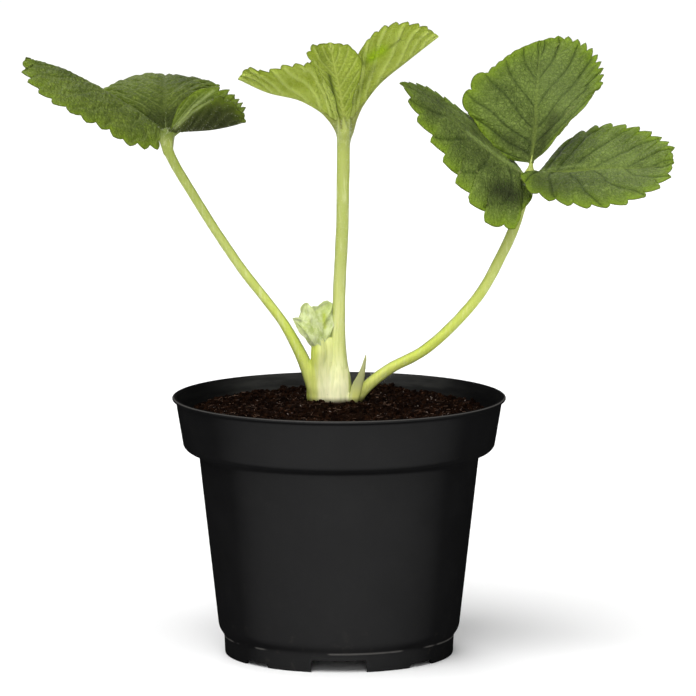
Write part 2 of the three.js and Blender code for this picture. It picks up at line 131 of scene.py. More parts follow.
def smoothPath(stops, pieces=40):  # a centripetal curve, and the share of its length at each point
    stops = np.array(stops, float)
    stops = np.vstack([2 * stops[0] - stops[1], stops, 2 * stops[-1] - stops[-2]])
    points = []
    for i in range(1, len(stops) - 2):
        p0, p1, p2, p3 = stops[i - 1:i + 3]
        t0 = 0.0
        t1 = t0 + math.sqrt(np.linalg.norm((p1 - p0)[:3]))
        t2 = t1 + math.sqrt(np.linalg.norm((p2 - p1)[:3]))
        t3 = t2 + math.sqrt(np.linalg.norm((p3 - p2)[:3]))
        t = np.linspace(t1, t2, pieces, endpoint=i == len(stops) - 3)[:, None]
        a1 = (t1 - t) / (t1 - t0) * p0 + (t - t0) / (t1 - t0) * p1
        a2 = (t2 - t) / (t2 - t1) * p1 + (t - t1) / (t2 - t1) * p2
        a3 = (t3 - t) / (t3 - t2) * p2 + (t - t2) / (t3 - t2) * p3
        b1 = (t2 - t) / (t2 - t0) * a1 + (t - t0) / (t2 - t0) * a2
        b2 = (t3 - t) / (t3 - t1) * a2 + (t - t1) / (t3 - t1) * a3
        points.append((t2 - t) / (t2 - t1) * b1 + (t - t1) / (t2 - t1) * b2)
    points = np.vstack(points)
    lengths = np.linalg.norm(np.diff(points[:, :3], axis=0), axis=1)
    share = np.concatenate([[0], np.cumsum(lengths)])
    return points, share / share[-1]


def pointAt(path, share):
    points, along = path
    return np.stack([np.interp(share, along, points[:, k]) for k in range(points.shape[1])], -1)


def tangentAt(path, share, step=0.01):
    ahead = pointAt(path, np.clip(share + step, 0, 1))[..., :3]
    behind = pointAt(path, np.clip(share - step, 0, 1))[..., :3]
    return unit(ahead - behind)


def pathLength(stops):
    points, _ = smoothPath(stops)
    return np.linalg.norm(np.diff(points[:, :3], axis=0), axis=1).sum()


def bell(distance, width):  # 1 on a line or at a place, fading to 0 away from it
    return np.exp(-(distance / width) ** 2)


def smoothstep(low, high, x):
    t = np.clip((x - low) / (high - low), 0, 1)
    return t * t * (3 - 2 * t)


def ripple(points, size, seed):  # a soft random field from -1 to 1, with lumps about size across
    rng = np.random.default_rng(seed)
    value = np.zeros(points.shape[:-1])
    for _ in range(7):
        direction = unit(rng.normal(size=3))
        phase = rng.uniform(0, 2 * math.pi)
        rate = 2 * math.pi / size * rng.uniform(0.6, 1.5)
        value += np.sin(points @ direction * rate + phase)
    return value / 4


# helpers for materials

def newMaterial(name, **constants):
    material = bpy.data.materials.new(name)
    material.use_nodes = True
    tree = material.node_tree
    shader = tree.nodes["Principled BSDF"]
    for socket, value in constants.items():
        shader.inputs[socket.replace("_", " ")].default_value = value
    return material, tree, shader


def feed(tree, socket, value):
    if hasattr(value, "links"):
        tree.links.new(value, socket)
    else:
        socket.default_value = value


def mixColour(tree, factor, first, second):
    node = tree.nodes.new("ShaderNodeMix")
    node.data_type = "RGBA"
    feed(tree, node.inputs[0], factor)  # 6, 7 and 2 are the node's colour sockets
    feed(tree, node.inputs[6], first)
    feed(tree, node.inputs[7], second)
    return node.outputs[2]


def calculate(tree, operation, first, second=0.5, third=0.5):
    node = tree.nodes.new("ShaderNodeMath")
    node.operation = operation
    for socket, value in zip(node.inputs, (first, second, third)):
        feed(tree, socket, value)
    return node.outputs[0]


def spread(tree, value, low, high, start=0.0, end=1.0):  # maps low..high to start..end, held at both ends
    node = tree.nodes.new("ShaderNodeMapRange")
    node.interpolation_type = "SMOOTHSTEP"
    for socket, number in zip(node.inputs, (value, low, high, start, end)):
        feed(tree, socket, number)
    return node.outputs[0]


def objectPlace(tree):
    return tree.nodes.new("ShaderNodeTexCoord").outputs["Object"]


def stretched(tree, place, scale):
    node = tree.nodes.new("ShaderNodeMapping")
    node.inputs["Scale"].default_value = scale
    tree.links.new(place, node.inputs["Vector"])
    return node.outputs["Vector"]


def noise(tree, place, perMm, detail=3.0, roughness=0.55):
    node = tree.nodes.new("ShaderNodeTexNoise")
    node.inputs["Scale"].default_value = perMm / mm
    node.inputs["Detail"].default_value = detail
    node.inputs["Roughness"].default_value = roughness
    tree.links.new(place, node.inputs["Vector"])
    return node.outputs["Fac"]


def cells(tree, place, perMm, feature="F1"):
    node = tree.nodes.new("ShaderNodeTexVoronoi")
    node.feature = feature
    node.inputs["Scale"].default_value = perMm / mm
    tree.links.new(place, node.inputs["Vector"])
    return node.outputs["Distance"]


def addBump(tree, shader, height, depth, strength=1.0):
    node = tree.nodes.new("ShaderNodeBump")
    node.inputs["Distance"].default_value = depth * mm
    node.inputs["Strength"].default_value = strength
    tree.links.new(height, node.inputs["Height"])
    tree.links.new(node.outputs["Normal"], shader.inputs["Normal"])


def attribute(tree, name):
    node = tree.nodes.new("ShaderNodeAttribute")
    node.attribute_name = name
    return node.outputs


def axesOf(tree, vector):  # its X, Y and Z
    node = tree.nodes.new("ShaderNodeSeparateXYZ")
    tree.links.new(vector, node.inputs[0])
    return node.outputs


def channelsOf(tree, colour):  # its Red, Green and Blue
    node = tree.nodes.new("ShaderNodeSeparateColor")
    tree.links.new(colour, node.inputs[0])
    return node.outputs


def surfaceNormal(tree):
    return tree.nodes.new("ShaderNodeNewGeometry").outputs["Normal"]


def measured(tree, operation, *vectors):  # the length of a vector, or the dot product of two
    node = tree.nodes.new("ShaderNodeVectorMath")
    node.operation = operation
    for socket, vector in zip(node.inputs, vectors):
        tree.links.new(vector, socket)
    return node.outputs["Value"]


def scaled(tree, vector, factor):
    node = tree.nodes.new("ShaderNodeVectorMath")
    node.operation = "SCALE"
    tree.links.new(vector, node.inputs[0])
    feed(tree, node.inputs["Scale"], factor)
    return node.outputs[0]


def product(tree, first, *others):
    for other in others:
        first = calculate(tree, "MULTIPLY", first, other)
    return first


def layered(tree, tone, colours, layers):  # each layer is a factor and the name of the colour laid over
    for factor, name in layers:
        tone = mixColour(tree, factor, tone, colours[name])
    return tone


# camera: level with the rim and a little above it, far away, as in a product photograph

cameraValues = {
    "framePixels": 696,
    "pixelsPerMm": 2.7833,
    "elevation": 8.2,
    "distance": 2.2,
    "potAxisPixel": 339,
    "groundPixel": 653,
}


def makeCamera(values):
    half = values["framePixels"] / 2
    elevation = math.radians(values["elevation"])
    targetX = (half - values["potAxisPixel"]) / values["pixelsPerMm"] * mm
    targetZ = (values["groundPixel"] - half) / values["pixelsPerMm"] / math.cos(elevation) * mm
    data = bpy.data.cameras.new("camera")
    data.sensor_width = 36
    width = values["framePixels"] / values["pixelsPerMm"] * mm
    data.lens = data.sensor_width * values["distance"] / width
    data.clip_start = 0.05
    data.clip_end = 20
    camera = placed("camera", data)
    camera.location = (
        targetX,
        -values["distance"] * math.cos(elevation),
        targetZ + values["distance"] * math.sin(elevation),
    )
    camera.rotation_euler = (math.pi / 2 - elevation, 0, 0)
    bpy.context.scene.camera = camera


makeCamera(cameraValues)
print("camera placed")


# pot

potValues = {
    "rimRadius": 60.0,
    "height": 93.3,
    "wall": 1.3,
    "footRadius": 41.2,
    "bodyTopRadius": 50.5,
    "collarBottom": 74.6,
    "baseUnderside": 5.2,
    "turns": 200,
    "notches": [  # width at the top and bottom, height, inner and outer radius, and angles
        (19.4, 19.8, 4.4, 34, 46, (0, 180)),
        (7.8, 14, 4.8, 20, 28, (0, 180)),
        (11, 12, 1.6, 34, 46, (46, 134, 226, 314)),
    ],
    "notchCorner": 0.7,
    "drainHoles": 6,
    "drainRadius": 4.0,
    "drainCircle": 32.0,
    "drainSides": 32,
    "gloss": 0.16,
}
potColours = {
    "plastic": (0.0055, 0.0055, 0.0057, 1),
    "cloud": (0.0068, 0.0068, 0.007, 1),
    "dust": (0.09, 0.078, 0.062, 1),
    # the next two are a painted reflection on the inner wall and a painted highlight on the lip and the ledge
    "paintedSheen": (0.032, 0.032, 0.03, 1),
    "paintedHighlight": (0.055, 0.053, 0.05, 1),
}


def potMaterial(values):
    material, tree, shader = newMaterial("pot plastic", Base_Color=potColours["plastic"], IOR=1.48)
    glance = tree.nodes.new("ShaderNodeLayerWeight")
    glance.inputs["Blend"].default_value = 0.5
    gloss = spread(tree, glance.outputs["Facing"], 0.03, 0.44, values["gloss"], 0.0)
    tree.links.new(gloss, shader.inputs["Specular IOR Level"])
    place = objectPlace(tree)
    axes = axesOf(tree, place)
    fromAxis = stretched(tree, place, (1, 1, 0))
    scuff = noise(tree, stretched(tree, place, (1, 1, 0.12)), 0.5, 5, 0.7)
    grain = noise(tree, place, 2.6, 2)

    # faint clouds in the plastic, and dust that gathers low on the pot
    cloud = spread(tree, noise(tree, place, 0.05, 3), 0.3, 0.7)
    low = spread(tree, axes["Z"], 0.004, 0.02, 1, 0.15)
    dust = spread(tree, noise(tree, place, 0.22, 5, 0.7), 0.56, 0.8)
    dusty = product(tree, low, 0.16, dust)

    # a lighter band of painted reflection on the inner wall, in the middle of its front and back
    inward = measured(tree, "DOT_PRODUCT", surfaceNormal(tree), fromAxis)
    aside = calculate(tree, "ABSOLUTE", axes["X"])
    paintedSheen = noise(tree, stretched(tree, place, (0.5, 0.5, 4)), 0.12, 3)
    paintedSheen = product(tree, spread(tree, paintedSheen, 0.35, 0.7, 0.25, 1.0), spread(tree, inward, -0.02, -0.045),
                   spread(tree, aside, 0.05, 0.025, 0.1, 1.0))

    # a thin painted highlight round the lip, and patches of painted highlight on the ledge over the foot
    lip = spread(tree, axes["Z"], (values["height"] - 0.4) * mm, (values["height"] - 0.1) * mm)
    outer = spread(tree, measured(tree, "LENGTH", fromAxis),
                   (values["rimRadius"] - 0.8) * mm, (values["rimRadius"] - 0.4) * mm)
    patches = spread(tree, noise(tree, place, 0.06, 2), 0.5, 0.6, 0.0, 2.0)
    ledge = product(tree, spread(tree, axes["Z"], 0.0063, 0.0067), spread(tree, axes["Z"], 0.0072, 0.0069),
                    patches)
    paintedHighlight = calculate(tree, "MAXIMUM", product(tree, lip, outer), ledge)

    tone = layered(tree, potColours["plastic"], potColours, [
        (cloud, "cloud"), (dusty, "dust"), (paintedSheen, "paintedSheen"), (paintedHighlight, "paintedHighlight")])
    tree.links.new(tone, shader.inputs["Base Color"])
    rough = calculate(tree, "MULTIPLY_ADD", scuff, 0.16, 0.37)
    tree.links.new(calculate(tree, "MULTIPLY_ADD", dusty, 0.8, rough), shader.inputs["Roughness"])
    addBump(tree, shader, calculate(tree, "MULTIPLY_ADD", scuff, 0.6, grain), 0.035, 0.5)
    return material


def rounded(corners, steps=4):  # a closed outline with each corner [r, z, radius] turned into an arc
    points = []
    count = len(corners)
    for i, (r, z, radius) in enumerate(corners):
        corner = np.array([r, z])
        before = np.array(corners[i - 1][:2]) - corner
        after = np.array(corners[(i + 1) % count][:2]) - corner
        reach = min(radius, 0.45 * np.linalg.norm(before), 0.45 * np.linalg.norm(after))
        if reach < 1e-6:
            points.append(corner)
            continue
        start = corner + unit(before) * reach
        end = corner + unit(after) * reach
        for k in range(steps + 1):
            t = k / steps
            points.append((1 - t) ** 2 * start + 2 * t * (1 - t) * corner + t ** 2 * end)
    return points


def turnedMesh(name, outline, turns):  # an outline whose first and last points lie on the axis
    rings = [p for p in outline if p[0] > 1e-6]
    angles = np.arange(turns) / turns * 2 * math.pi
    points = [(r * math.cos(a), r * math.sin(a), z) for r, z in rings for a in angles]
    faces = ringFaces(len(rings), turns)
    start, end = len(points), len(points) + 1
    points += [(0, 0, outline[0][1]), (0, 0, outline[-1][1])]
    last = (len(rings) - 1) * turns
    for j in range(turns):
        k = (j + 1) % turns
        faces += [(start, k, j), (end, last + j, last + k)]
    return meshFrom(name, np.array(points) * mm, faces)


def prism(ring, otherRing):  # a closed solid between two rings of points
    n = len(ring)
    faces = [tuple(range(n)), tuple(range(2 * n - 1, n - 1, -1))]
    faces += [(i, n + i, n + (i + 1) % n, (i + 1) % n) for i in range(n)]
    return [*ring, *otherRing], faces


def notchCutter(topWidth, bottomWidth, height, inner, outer, angle, corner):
    outline = rounded([(-bottomWidth / 2, -1, 0), (bottomWidth / 2, -1, 0),
                       (topWidth / 2, height, corner), (-topWidth / 2, height, corner)])
    turn = math.radians(angle)
    return prism(*([(x * math.cos(turn) + r * math.sin(turn), x * math.sin(turn) - r * math.cos(turn), z)
                    for x, z in outline] for r in (inner, outer)))


def holeCutter(x, y, radius, low, high, sides):
    angles = [2 * math.pi * k / sides for k in range(sides)]
    return prism(*([(x + radius * math.cos(a), y + radius * math.sin(a), z) for a in angles]
                   for z in (low, high)))


def potCutter(values):  # the foot's notches and the drain holes
    base, circle = values["baseUnderside"], values["drainCircle"]
    parts = []
    for *sizes, angles in values["notches"]:
        parts += [notchCutter(*sizes, angle, values["notchCorner"]) for angle in angles]
    for number in range(values["drainHoles"]):
        angle = (number + 0.5) * 2 * math.pi / values["drainHoles"]
        parts.append(holeCutter(circle * math.cos(angle), circle * math.sin(angle),
                                values["drainRadius"], base - 5, base + 5, values["drainSides"]))
    points, faces = joinParts(parts)
    cutter = placed("cutter", meshFrom("cutter", points * mm, faces))
    outward(cutter.data)
    return cutter


def makePot(values):
    wall = values["wall"]
    foot, base = values["footRadius"], values["baseUnderside"]
    body, collar = values["bodyTopRadius"], values["collarBottom"]
    rim, top = values["rimRadius"], values["height"]
    corners = [  # radius, height and rounding: the base from its middle, the outside, the lip, the inside
        (0, 0, 0), (8, 0, 0.4), (8.6, base, 0.8), (23.4, base, 0.6), (23.6, 0.9, 0.3), (24.6, 0.9, 0.3),
        (24.8, base, 0.6), (foot - wall - 0.1, base, 0.8), (foot - wall, 0, 0.3), (foot, 0, 0.45),
        (foot + 0.3, 6.8, 1.0), (43.4, 9.6, 1.6), (body, collar - 1.6, 1.4), (body + 4.1, collar - 0.4, 0.8),
        (56, collar + 1, 1.5), (58.7, top - 1.5, 0.9), (rim, top - 0.85, 0.3), (rim, top - 0.3, 0.3),
        (rim - 0.45, top, 0.3), (58.4, top, 0.4), (58.0, top - 1, 0.5), (57.0, top - 3.5, 1.0),
        (54.6, collar + 1, 1.2),
        (body - wall, collar - 0.6, 1.2), (42.1, 10.2, 1.5), (39.6, base + wall, 1.5), (0, base + wall, 0),
    ]
    shell = newPiece("pot_shell", turnedMesh("pot_shell", rounded(corners), values["turns"]),
                     potMaterial(values))
    cutter = potCutter(values)
    cut = shell.modifiers.new("notches", "BOOLEAN")
    cut.operation = "DIFFERENCE"
    cut.solver = "EXACT"
    cut.object = cutter
    applyModifiers(shell, "pot_shell_cut")
    bpy.data.objects.remove(cutter)
    shell.data.shade_smooth()
    shell.data.set_sharp_from_angle(angle=math.radians(38))
    return shell


pot = makePot(potValues)
print("pot made:", len(pot.data.polygons), "faces")


# soil: a crumbly heap, with loose crumbs and light fibres on it

crownPlace = (-0.7, 5.0)
soilValues = {
    "edgeLevel": 86.0,
    "settled": 0.4,
    "mound": 6.8,
    "moundSpread": 20.0,
    "hollow": 1.4,
    "hollowPlace": (0, -2),
    "hollowSize": 5.0,
    "backwardRise": 0.018,
    "backRise": 0.038,
    "backStart": 5.0,
    "lumps": [(15, 3, 0.9), (6, 5, 0.5), (2.6, 8, 0.28)],  # size, seed and height
    "edgeRadius": 56.6,
    "edgeWidth": 2.5,
    "edgeDrop": 0.8,
    "skirt": [(54.0, 76.4), (48.9, 74.5), (41.6, 10.6), (39.0, 6.9)],  # radius and height in the pot
    "rings": 78,
    "turns": 240,
    "openAbove": 80,
    "lumpsFrom": (2, 9),  # how far from the crown the lumps and the crumbs begin
    "crumbsFrom": (5.5, 8),
    "crumbs": 9000,
    "crumbSizes": (0.28, 1.5),
    "crumbRadius": 55.2,
    "crumbSeed": 4,
    "fibres": 1100,
    "fibreLengths": (0.8, 4.4),
    "fibreThickness": 0.09,
    "fibreRadius": 53.8,
    "fibreSeed": 5,
}
soilColours = {
    "dark": (0.003, 0.0012, 0.0006, 1),
    "brown": (0.01, 0.004, 0.0018, 1),
    "grit": (0.026, 0.0105, 0.005, 1),
    "crumbDark": (0.0035, 0.0014, 0.0007, 1),
    "crumbBrown": (0.016, 0.0065, 0.003, 1),
    "crumbLight": (0.05, 0.024, 0.014, 1),
    "crumbPale": (0.15, 0.12, 0.105, 1),
    "fibreDark": (0.015, 0.006, 0.003, 1),
    "fibreLight": (0.15, 0.09, 0.06, 1),
}


def soilLevel(values, x, y):
    fromCrown = np.hypot(x - crownPlace[0], y - crownPlace[1])
    fromHollow = np.hypot(x - values["hollowPlace"][0], y - values["hollowPlace"][1])
    level = values["edgeLevel"] + y * values["backwardRise"]
    level = level + np.maximum(y - values["backStart"], 0) * values["backRise"]
    level = level + values["mound"] * bell(fromCrown, values["moundSpread"])
    level = level - values["hollow"] * bell(fromHollow, values["hollowSize"])
    flat = np.stack([x, y, np.zeros_like(x)], -1)
    lumps = sum(ripple(flat, size, seed) * height for size, seed, height in values["lumps"])
    return level + lumps * smoothstep(*values["lumpsFrom"], fromCrown) - values["settled"]


def soilMaterial():
    material, tree, shader = newMaterial("peat", Roughness=0.92, Specular_IOR_Level=0.03)
    place = objectPlace(tree)
    patches = noise(tree, place, 0.16, 4, 0.65)
    grit = noise(tree, place, 1.6, 4, 0.7)
    tone = layered(tree, soilColours["dark"], soilColours, [
        (spread(tree, patches, 0.35, 0.65), "brown"),
        (spread(tree, grit, 0.56, 0.74), "grit")])
    tree.links.new(tone, shader.inputs["Base Color"])
    addBump(tree, shader, grit, 0.5)
    return material


def crumbMaterial():
    material, tree, shader = newMaterial("peat crumbs", Roughness=0.9, Specular_IOR_Level=0.02)
    place = objectPlace(tree)
    which = noise(tree, place, 0.45, 2, 0.6)
    pale = noise(tree, place, 0.62, 1, 0.5)
    tone = layered(tree, soilColours["crumbDark"], soilColours, [
        (spread(tree, which, 0.4, 0.7), "crumbBrown"),
        (spread(tree, which, 0.66, 0.72), "crumbLight"),
        (spread(tree, pale, 0.7, 0.74), "crumbPale")])
    tree.links.new(tone, shader.inputs["Base Color"])
    addBump(tree, shader, noise(tree, place, 2.2, 3, 0.7), 0.3)
    return material


def fibreMaterial():
    material, tree, shader = newMaterial("peat fibres", Roughness=0.8, Specular_IOR_Level=0.1)
    which = spread(tree, noise(tree, objectPlace(tree), 0.12, 2, 0.5), 0.35, 0.7)
    tone = mixColour(tree, which, soilColours["fibreDark"], soilColours["fibreLight"])
    tree.links.new(tone, shader.inputs["Base Color"])
    return material


def makeHeap(values):
    rings, turns, edge = values["rings"], values["turns"], values["edgeRadius"]
    angles = np.arange(turns) / turns * 2 * math.pi
    r, a = np.meshgrid(np.linspace(0, edge, rings)[1:], angles, indexing="ij")
    x, y = r * np.cos(a), r * np.sin(a)
    z = soilLevel(values, x, y) - smoothstep(edge - values["edgeWidth"], edge, r) * values["edgeDrop"]
    surface = np.stack([x, y, z], -1).reshape(-1, 3)
    skirt = [np.stack([radius * np.cos(angles), radius * np.sin(angles), np.full(turns, height)], -1)
             for radius, height in values["skirt"]]
    centre = [0, 0, float(soilLevel(values, np.array(0.0), np.array(0.0)))]
    bottom = [0, 0, values["skirt"][-1][1]]
    points = np.vstack([surface, *skirt, centre, bottom])
    count = rings - 1 + len(skirt)
    last = (count - 1) * turns
    faces = [(face[0], *face[:0:-1]) for face in ringFaces(count, turns)]  # the rings run downwards
    for j in range(turns):
        k = (j + 1) % turns
        faces += [(count * turns, j, k), (count * turns + 1, last + k, last + j)]
    return newPiece("peat_heap", meshFrom("peat_heap", points * mm, faces), soilMaterial())


# helpers for geometry nodes

def add(tree, kind, settings=None, **inputs):  # a node with its settings, and its inputs linked or set
    node = tree.nodes.new(kind)
    for key, value in (settings or {}).items():
        setattr(node, key, value)
    for label, value in inputs.items():
        feed(tree, node.inputs[label.replace("_", " ")], value)
    return node


def scatterTree(name, sizes):  # a tree that scatters points as densely as the "scatter" attribute says
    tree = bpy.data.node_groups.new(name, "GeometryNodeTree")
    tree.interface.new_socket("Geometry", in_out="INPUT", socket_type="NodeSocketGeometry")
    for label, kind, value in [("Density", "Float", 1.0), *sizes, ("Seed", "Int", 0)]:
        socket = tree.interface.new_socket(label, in_out="INPUT", socket_type="NodeSocket" + kind)
        socket.default_value = value
    tree.interface.new_socket("Material", in_out="INPUT", socket_type="NodeSocketMaterial")
    tree.interface.new_socket("Geometry", in_out="OUTPUT", socket_type="NodeSocketGeometry")
    given = tree.nodes.new("NodeGroupInput").outputs
    share = add(tree, "GeometryNodeInputNamedAttribute", {"data_type": "FLOAT"}, Name="scatter")
    density = calculate(tree, "MULTIPLY", share.outputs["Attribute"], given["Density"])
    spots = add(tree, "GeometryNodeDistributePointsOnFaces", {"distribute_method": "RANDOM"},
                Mesh=given["Geometry"], Density=density, Seed=given["Seed"])
    return tree, given, spots.outputs


def randomValue(tree, kind, low, high, seed, offset):
    node = add(tree, "FunctionNodeRandomValue", {"data_type": kind})
    feed(tree, node.inputs["Seed"], calculate(tree, "ADD", seed, offset))
    vector = kind == "FLOAT_VECTOR"
    first = 0 if vector else 2
    node.inputs[first].default_value = low
    node.inputs[first + 1].default_value = high
    return node.outputs[0 if vector else 1]


# no instances, because the export drops them
def realCopies(tree, points, shape, turn, size):  # made into real copies, not left as instances
    copies = add(tree, "GeometryNodeInstanceOnPoints", Points=points, Instance=shape, Rotation=turn,
                 Scale=size)
    real = add(tree, "GeometryNodeRealizeInstances", Geometry=copies.outputs["Instances"])
    return real.outputs["Geometry"]


def finishTree(tree, given, geometry):
    paint = add(tree, "GeometryNodeSetMaterial", Geometry=geometry, Material=given["Material"])
    add(tree, "NodeGroupOutput", Geometry=paint.outputs["Geometry"])
    return tree


def crumbTree():
    tree, given, spots = scatterTree("scatter crumbs", [
        ("Smallest", "Float", 0.3 * mm), ("Largest", "Float", 1.2 * mm)])
    lump = add(tree, "GeometryNodeMeshIcoSphere", Radius=1.0, Subdivisions=1)
    turn = randomValue(tree, "FLOAT_VECTOR", (0, 0, 0), (6.28, 6.28, 6.28), given["Seed"], 1)
    pick = randomValue(tree, "FLOAT", 0.0, 1.0, given["Seed"], 2)
    size = add(tree, "ShaderNodeMapRange", Value=calculate(tree, "POWER", pick, 2.6),  # mostly small ones
               To_Min=given["Smallest"], To_Max=given["Largest"])
    shape = randomValue(tree, "FLOAT_VECTOR", (0.6, 0.55, 0.5), (1.3, 1.1, 0.9), given["Seed"], 3)
    real = realCopies(tree, spots["Points"], lump.outputs["Mesh"], turn, scaled(tree, shape, size.outputs[0]))
    wobble = add(tree, "ShaderNodeTexNoise", Scale=1100, Detail=1)
    centred = add(tree, "ShaderNodeVectorMath", {"operation": "SUBTRACT"})
    feed(tree, centred.inputs[0], wobble.outputs["Color"])
    feed(tree, centred.inputs[1], (0.5, 0.5, 0.5))
    rough = add(tree, "GeometryNodeSetPosition", Geometry=real,
                Offset=scaled(tree, centred.outputs[0], 0.9 * mm))
    return finishTree(tree, given, rough.outputs["Geometry"])


def fibreTree():
    tree, given, spots = scatterTree("scatter fibres", [
        ("Shortest", "Float", 2 * mm), ("Longest", "Float", 8 * mm), ("Radius", "Float", 0.1 * mm)])
    bend = add(tree, "GeometryNodeCurveQuadraticBezier", Resolution=5,
               Start=(-0.5, 0, 0), Middle=(0, 0.22, 0.16), End=(0.5, 0.05, 0.03))
    turn = randomValue(tree, "FLOAT_VECTOR", (-0.35, -0.35, 0), (0.35, 0.35, 6.28), given["Seed"], 1)
    pick = randomValue(tree, "FLOAT", 0.0, 1.0, given["Seed"], 2)
    size = add(tree, "ShaderNodeMapRange", Value=pick, To_Min=given["Shortest"], To_Max=given["Longest"])
    real = realCopies(tree, spots["Points"], bend.outputs["Curve"], turn, size.outputs[0])
    ring = add(tree, "GeometryNodeCurvePrimitiveCircle", Resolution=4, Radius=given["Radius"])
    thread = add(tree, "GeometryNodeCurveToMesh", Curve=real, Profile_Curve=ring.outputs["Curve"],
                 Fill_Caps=True)
    return finishTree(tree, given, thread.outputs["Mesh"])


def hairTree():
    tree, given, spots = scatterTree("grow hairs", [
        ("Length", "Float", 1.0 * mm), ("Radius", "Float", 0.03 * mm), ("Lean", "Float", 0.5)])
    hair = add(tree, "GeometryNodeMeshCone", Vertices=3, Radius_Top=0.0, Radius_Bottom=given["Radius"],
               Depth=given["Length"])
    sway = randomValue(tree, "FLOAT_VECTOR", (-1, -1, -3), (1, 1, 3), given["Seed"], 1)
    tip = add(tree, "FunctionNodeRotateRotation", {"rotation_space": "LOCAL"},
              Rotation=spots["Rotation"], Rotate_By=scaled(tree, sway, given["Lean"]))
    size = randomValue(tree, "FLOAT", 0.5, 1.2, given["Seed"], 2)
    real = realCopies(tree, spots["Points"], hair.outputs["Mesh"], tip.outputs[0], size)
    return finishTree(tree, given, real)


def grownPiece(host, tree, name, material, values):  # what a tree grows on a host, as a plain object
    grower = placed(name, host.data.copy())
    modifier = grower.modifiers.new("grow", "NODES")
    modifier.node_group = tree
    values = {**values, "Material": material}
    for socket in tree.interface.items_tree:
        if socket.in_out == "INPUT" and socket.name in values:
            modifier[socket.identifier] = values[socket.name]
    mesh = evaluatedCopy(grower, name, material)
    bpy.data.objects.remove(grower)
    return placed(name, mesh)


def scatterOnSoil(heap, radius):  # on the open surface, clear of the crown
    x, y, z = pointsOf(heap.data).T
    fromCrown = np.hypot(x - crownPlace[0], y - crownPlace[1])
    onTop = (z > soilValues["openAbove"]) * smoothstep(*soilValues["crumbsFrom"], fromCrown)
    setNumbers(heap.data, "scatter", onTop * (np.hypot(x, y) < radius))


heap = makeHeap(soilValues)
topArea = math.pi * (soilValues["edgeRadius"] * mm) ** 2
smallest, largest = soilValues["crumbSizes"]
scatterOnSoil(heap, soilValues["crumbRadius"])
crumbs = grownPiece(heap, crumbTree(), "peat_crumbs", crumbMaterial(), {
    "Density": soilValues["crumbs"] / topArea, "Smallest": smallest * mm, "Largest": largest * mm,
    "Seed": soilValues["crumbSeed"]})
shortest, longest = soilValues["fibreLengths"]
scatterOnSoil(heap, soilValues["fibreRadius"])
fibres = grownPiece(heap, fibreTree(), "peat_fibres", fibreMaterial(), {
    "Density": soilValues["fibres"] / topArea, "Shortest": shortest * mm, "Longest": longest * mm,
    "Radius": soilValues["fibreThickness"] * mm, "Seed": soilValues["fibreSeed"]})
print("soil made:", len(crumbs.data.polygons), "crumb faces,", len(fibres.data.polygons), "fibre faces")


# stalks, along stops of x, y, z and radius, with the length of the sheath that each has in the crown. At its
# top a stalk parts into three stalklets: they start "below" it and thin out by "radii" until they end at
# "reach", a share of each midrib, and "steepest" says how steep a blade may be taken when they go under it.

stalkValues = {
    "left": {
        "stops": [
            (-5.5, 5, 84, 2.6), (-7.2, 4.6, 90, 2.6), (-8.8, 4, 95, 2.6), (-12.6, 3, 105.5, 2.3),
            (-19.4, 3, 118.5, 1.8), (-36.3, 3, 141, 1.7), (-50.7, 3, 163.3, 1.7), (-61, 3, 181.5, 1.9),
            (-62, 3, 187, 2.5),
        ],
        "squash": 1, "sheath": 24.5, "cream": 0.0, "slitShade": (),
        "below": 6.5, "radii": (1.7, 2.0, 1.7, 1.0, 0.5, 0.25), "reach": 0.2, "steepest": 0.6,
        "swelling": [(-62.2, 3.2, 185.5, 2.2), (-62, 3.6, 187.6, 2.0), (-62, 4.4, 189.4, 1.0)],
    },
    "centre": {
        "stops": [
            (-1.3, 5, 84, 5.8), (-1.3, 5, 95, 5.9), (-0.9, 4.4, 108, 3.8), (-0.2, 3, 119, 2.5),
            (0.2, 2, 133.5, 2.3), (1, 1, 148.5, 2.3), (1.4, 0, 164, 2.3), (1.7, 0, 189.6, 2.4),
        ],
        "squash": 0.88, "sheath": 22.5, "cream": 1.0, "slitShade": [(0.2, 195.5), (0.4, 193.6), (0.9, 190.6)],
        "below": 7.0, "radii": (2.0, 2.1, 1.9, 1.2, 0.7, 0.3), "reach": 0.28, "steepest": 1.0,
        "swelling": [(1.6, 0, 187, 2.2), (1.9, -0.2, 191, 2.6), (1.9, -0.4, 194, 2.4), (1.9, -0.6, 196, 1.0)],
    },
    "right": {
        "stops": [
            (3.5, 6, 84, 2.2), (5.8, 5.5, 90, 2.2), (8.6, 5, 94.5, 2.2), (17.6, 3, 102.3, 2),
            (30.2, 0, 109.6, 1.9), (40.6, -2, 119, 1.9), (50.7, -3, 131, 1.9), (57.5, -3, 143.3, 1.9),
            (62.9, -2.5, 155.3, 1.9), (67.6, -3, 172, 1.9),
        ],
        "squash": 1, "sheath": 15, "cream": 0.0, "slitShade": (),
        "below": 2.2, "radii": (1.5, 1.3, 0.95, 0.7, 0.5, 0.3), "reach": 0.08, "steepest": 1.0,
        "swelling": [(67.6, -3, 170.5, 1.8), (68, -3.8, 173, 2.2), (68.4, -4.2, 175.2, 1.8),
                     (68.6, -4.2, 176.6, 0.6)],
    },
}
stalkStart = 4.5  # how far below the end of its sheath a stalk begins

# crown: the sheaths, the skin between them as flattened tubes, the young leaf's stem and the stipule

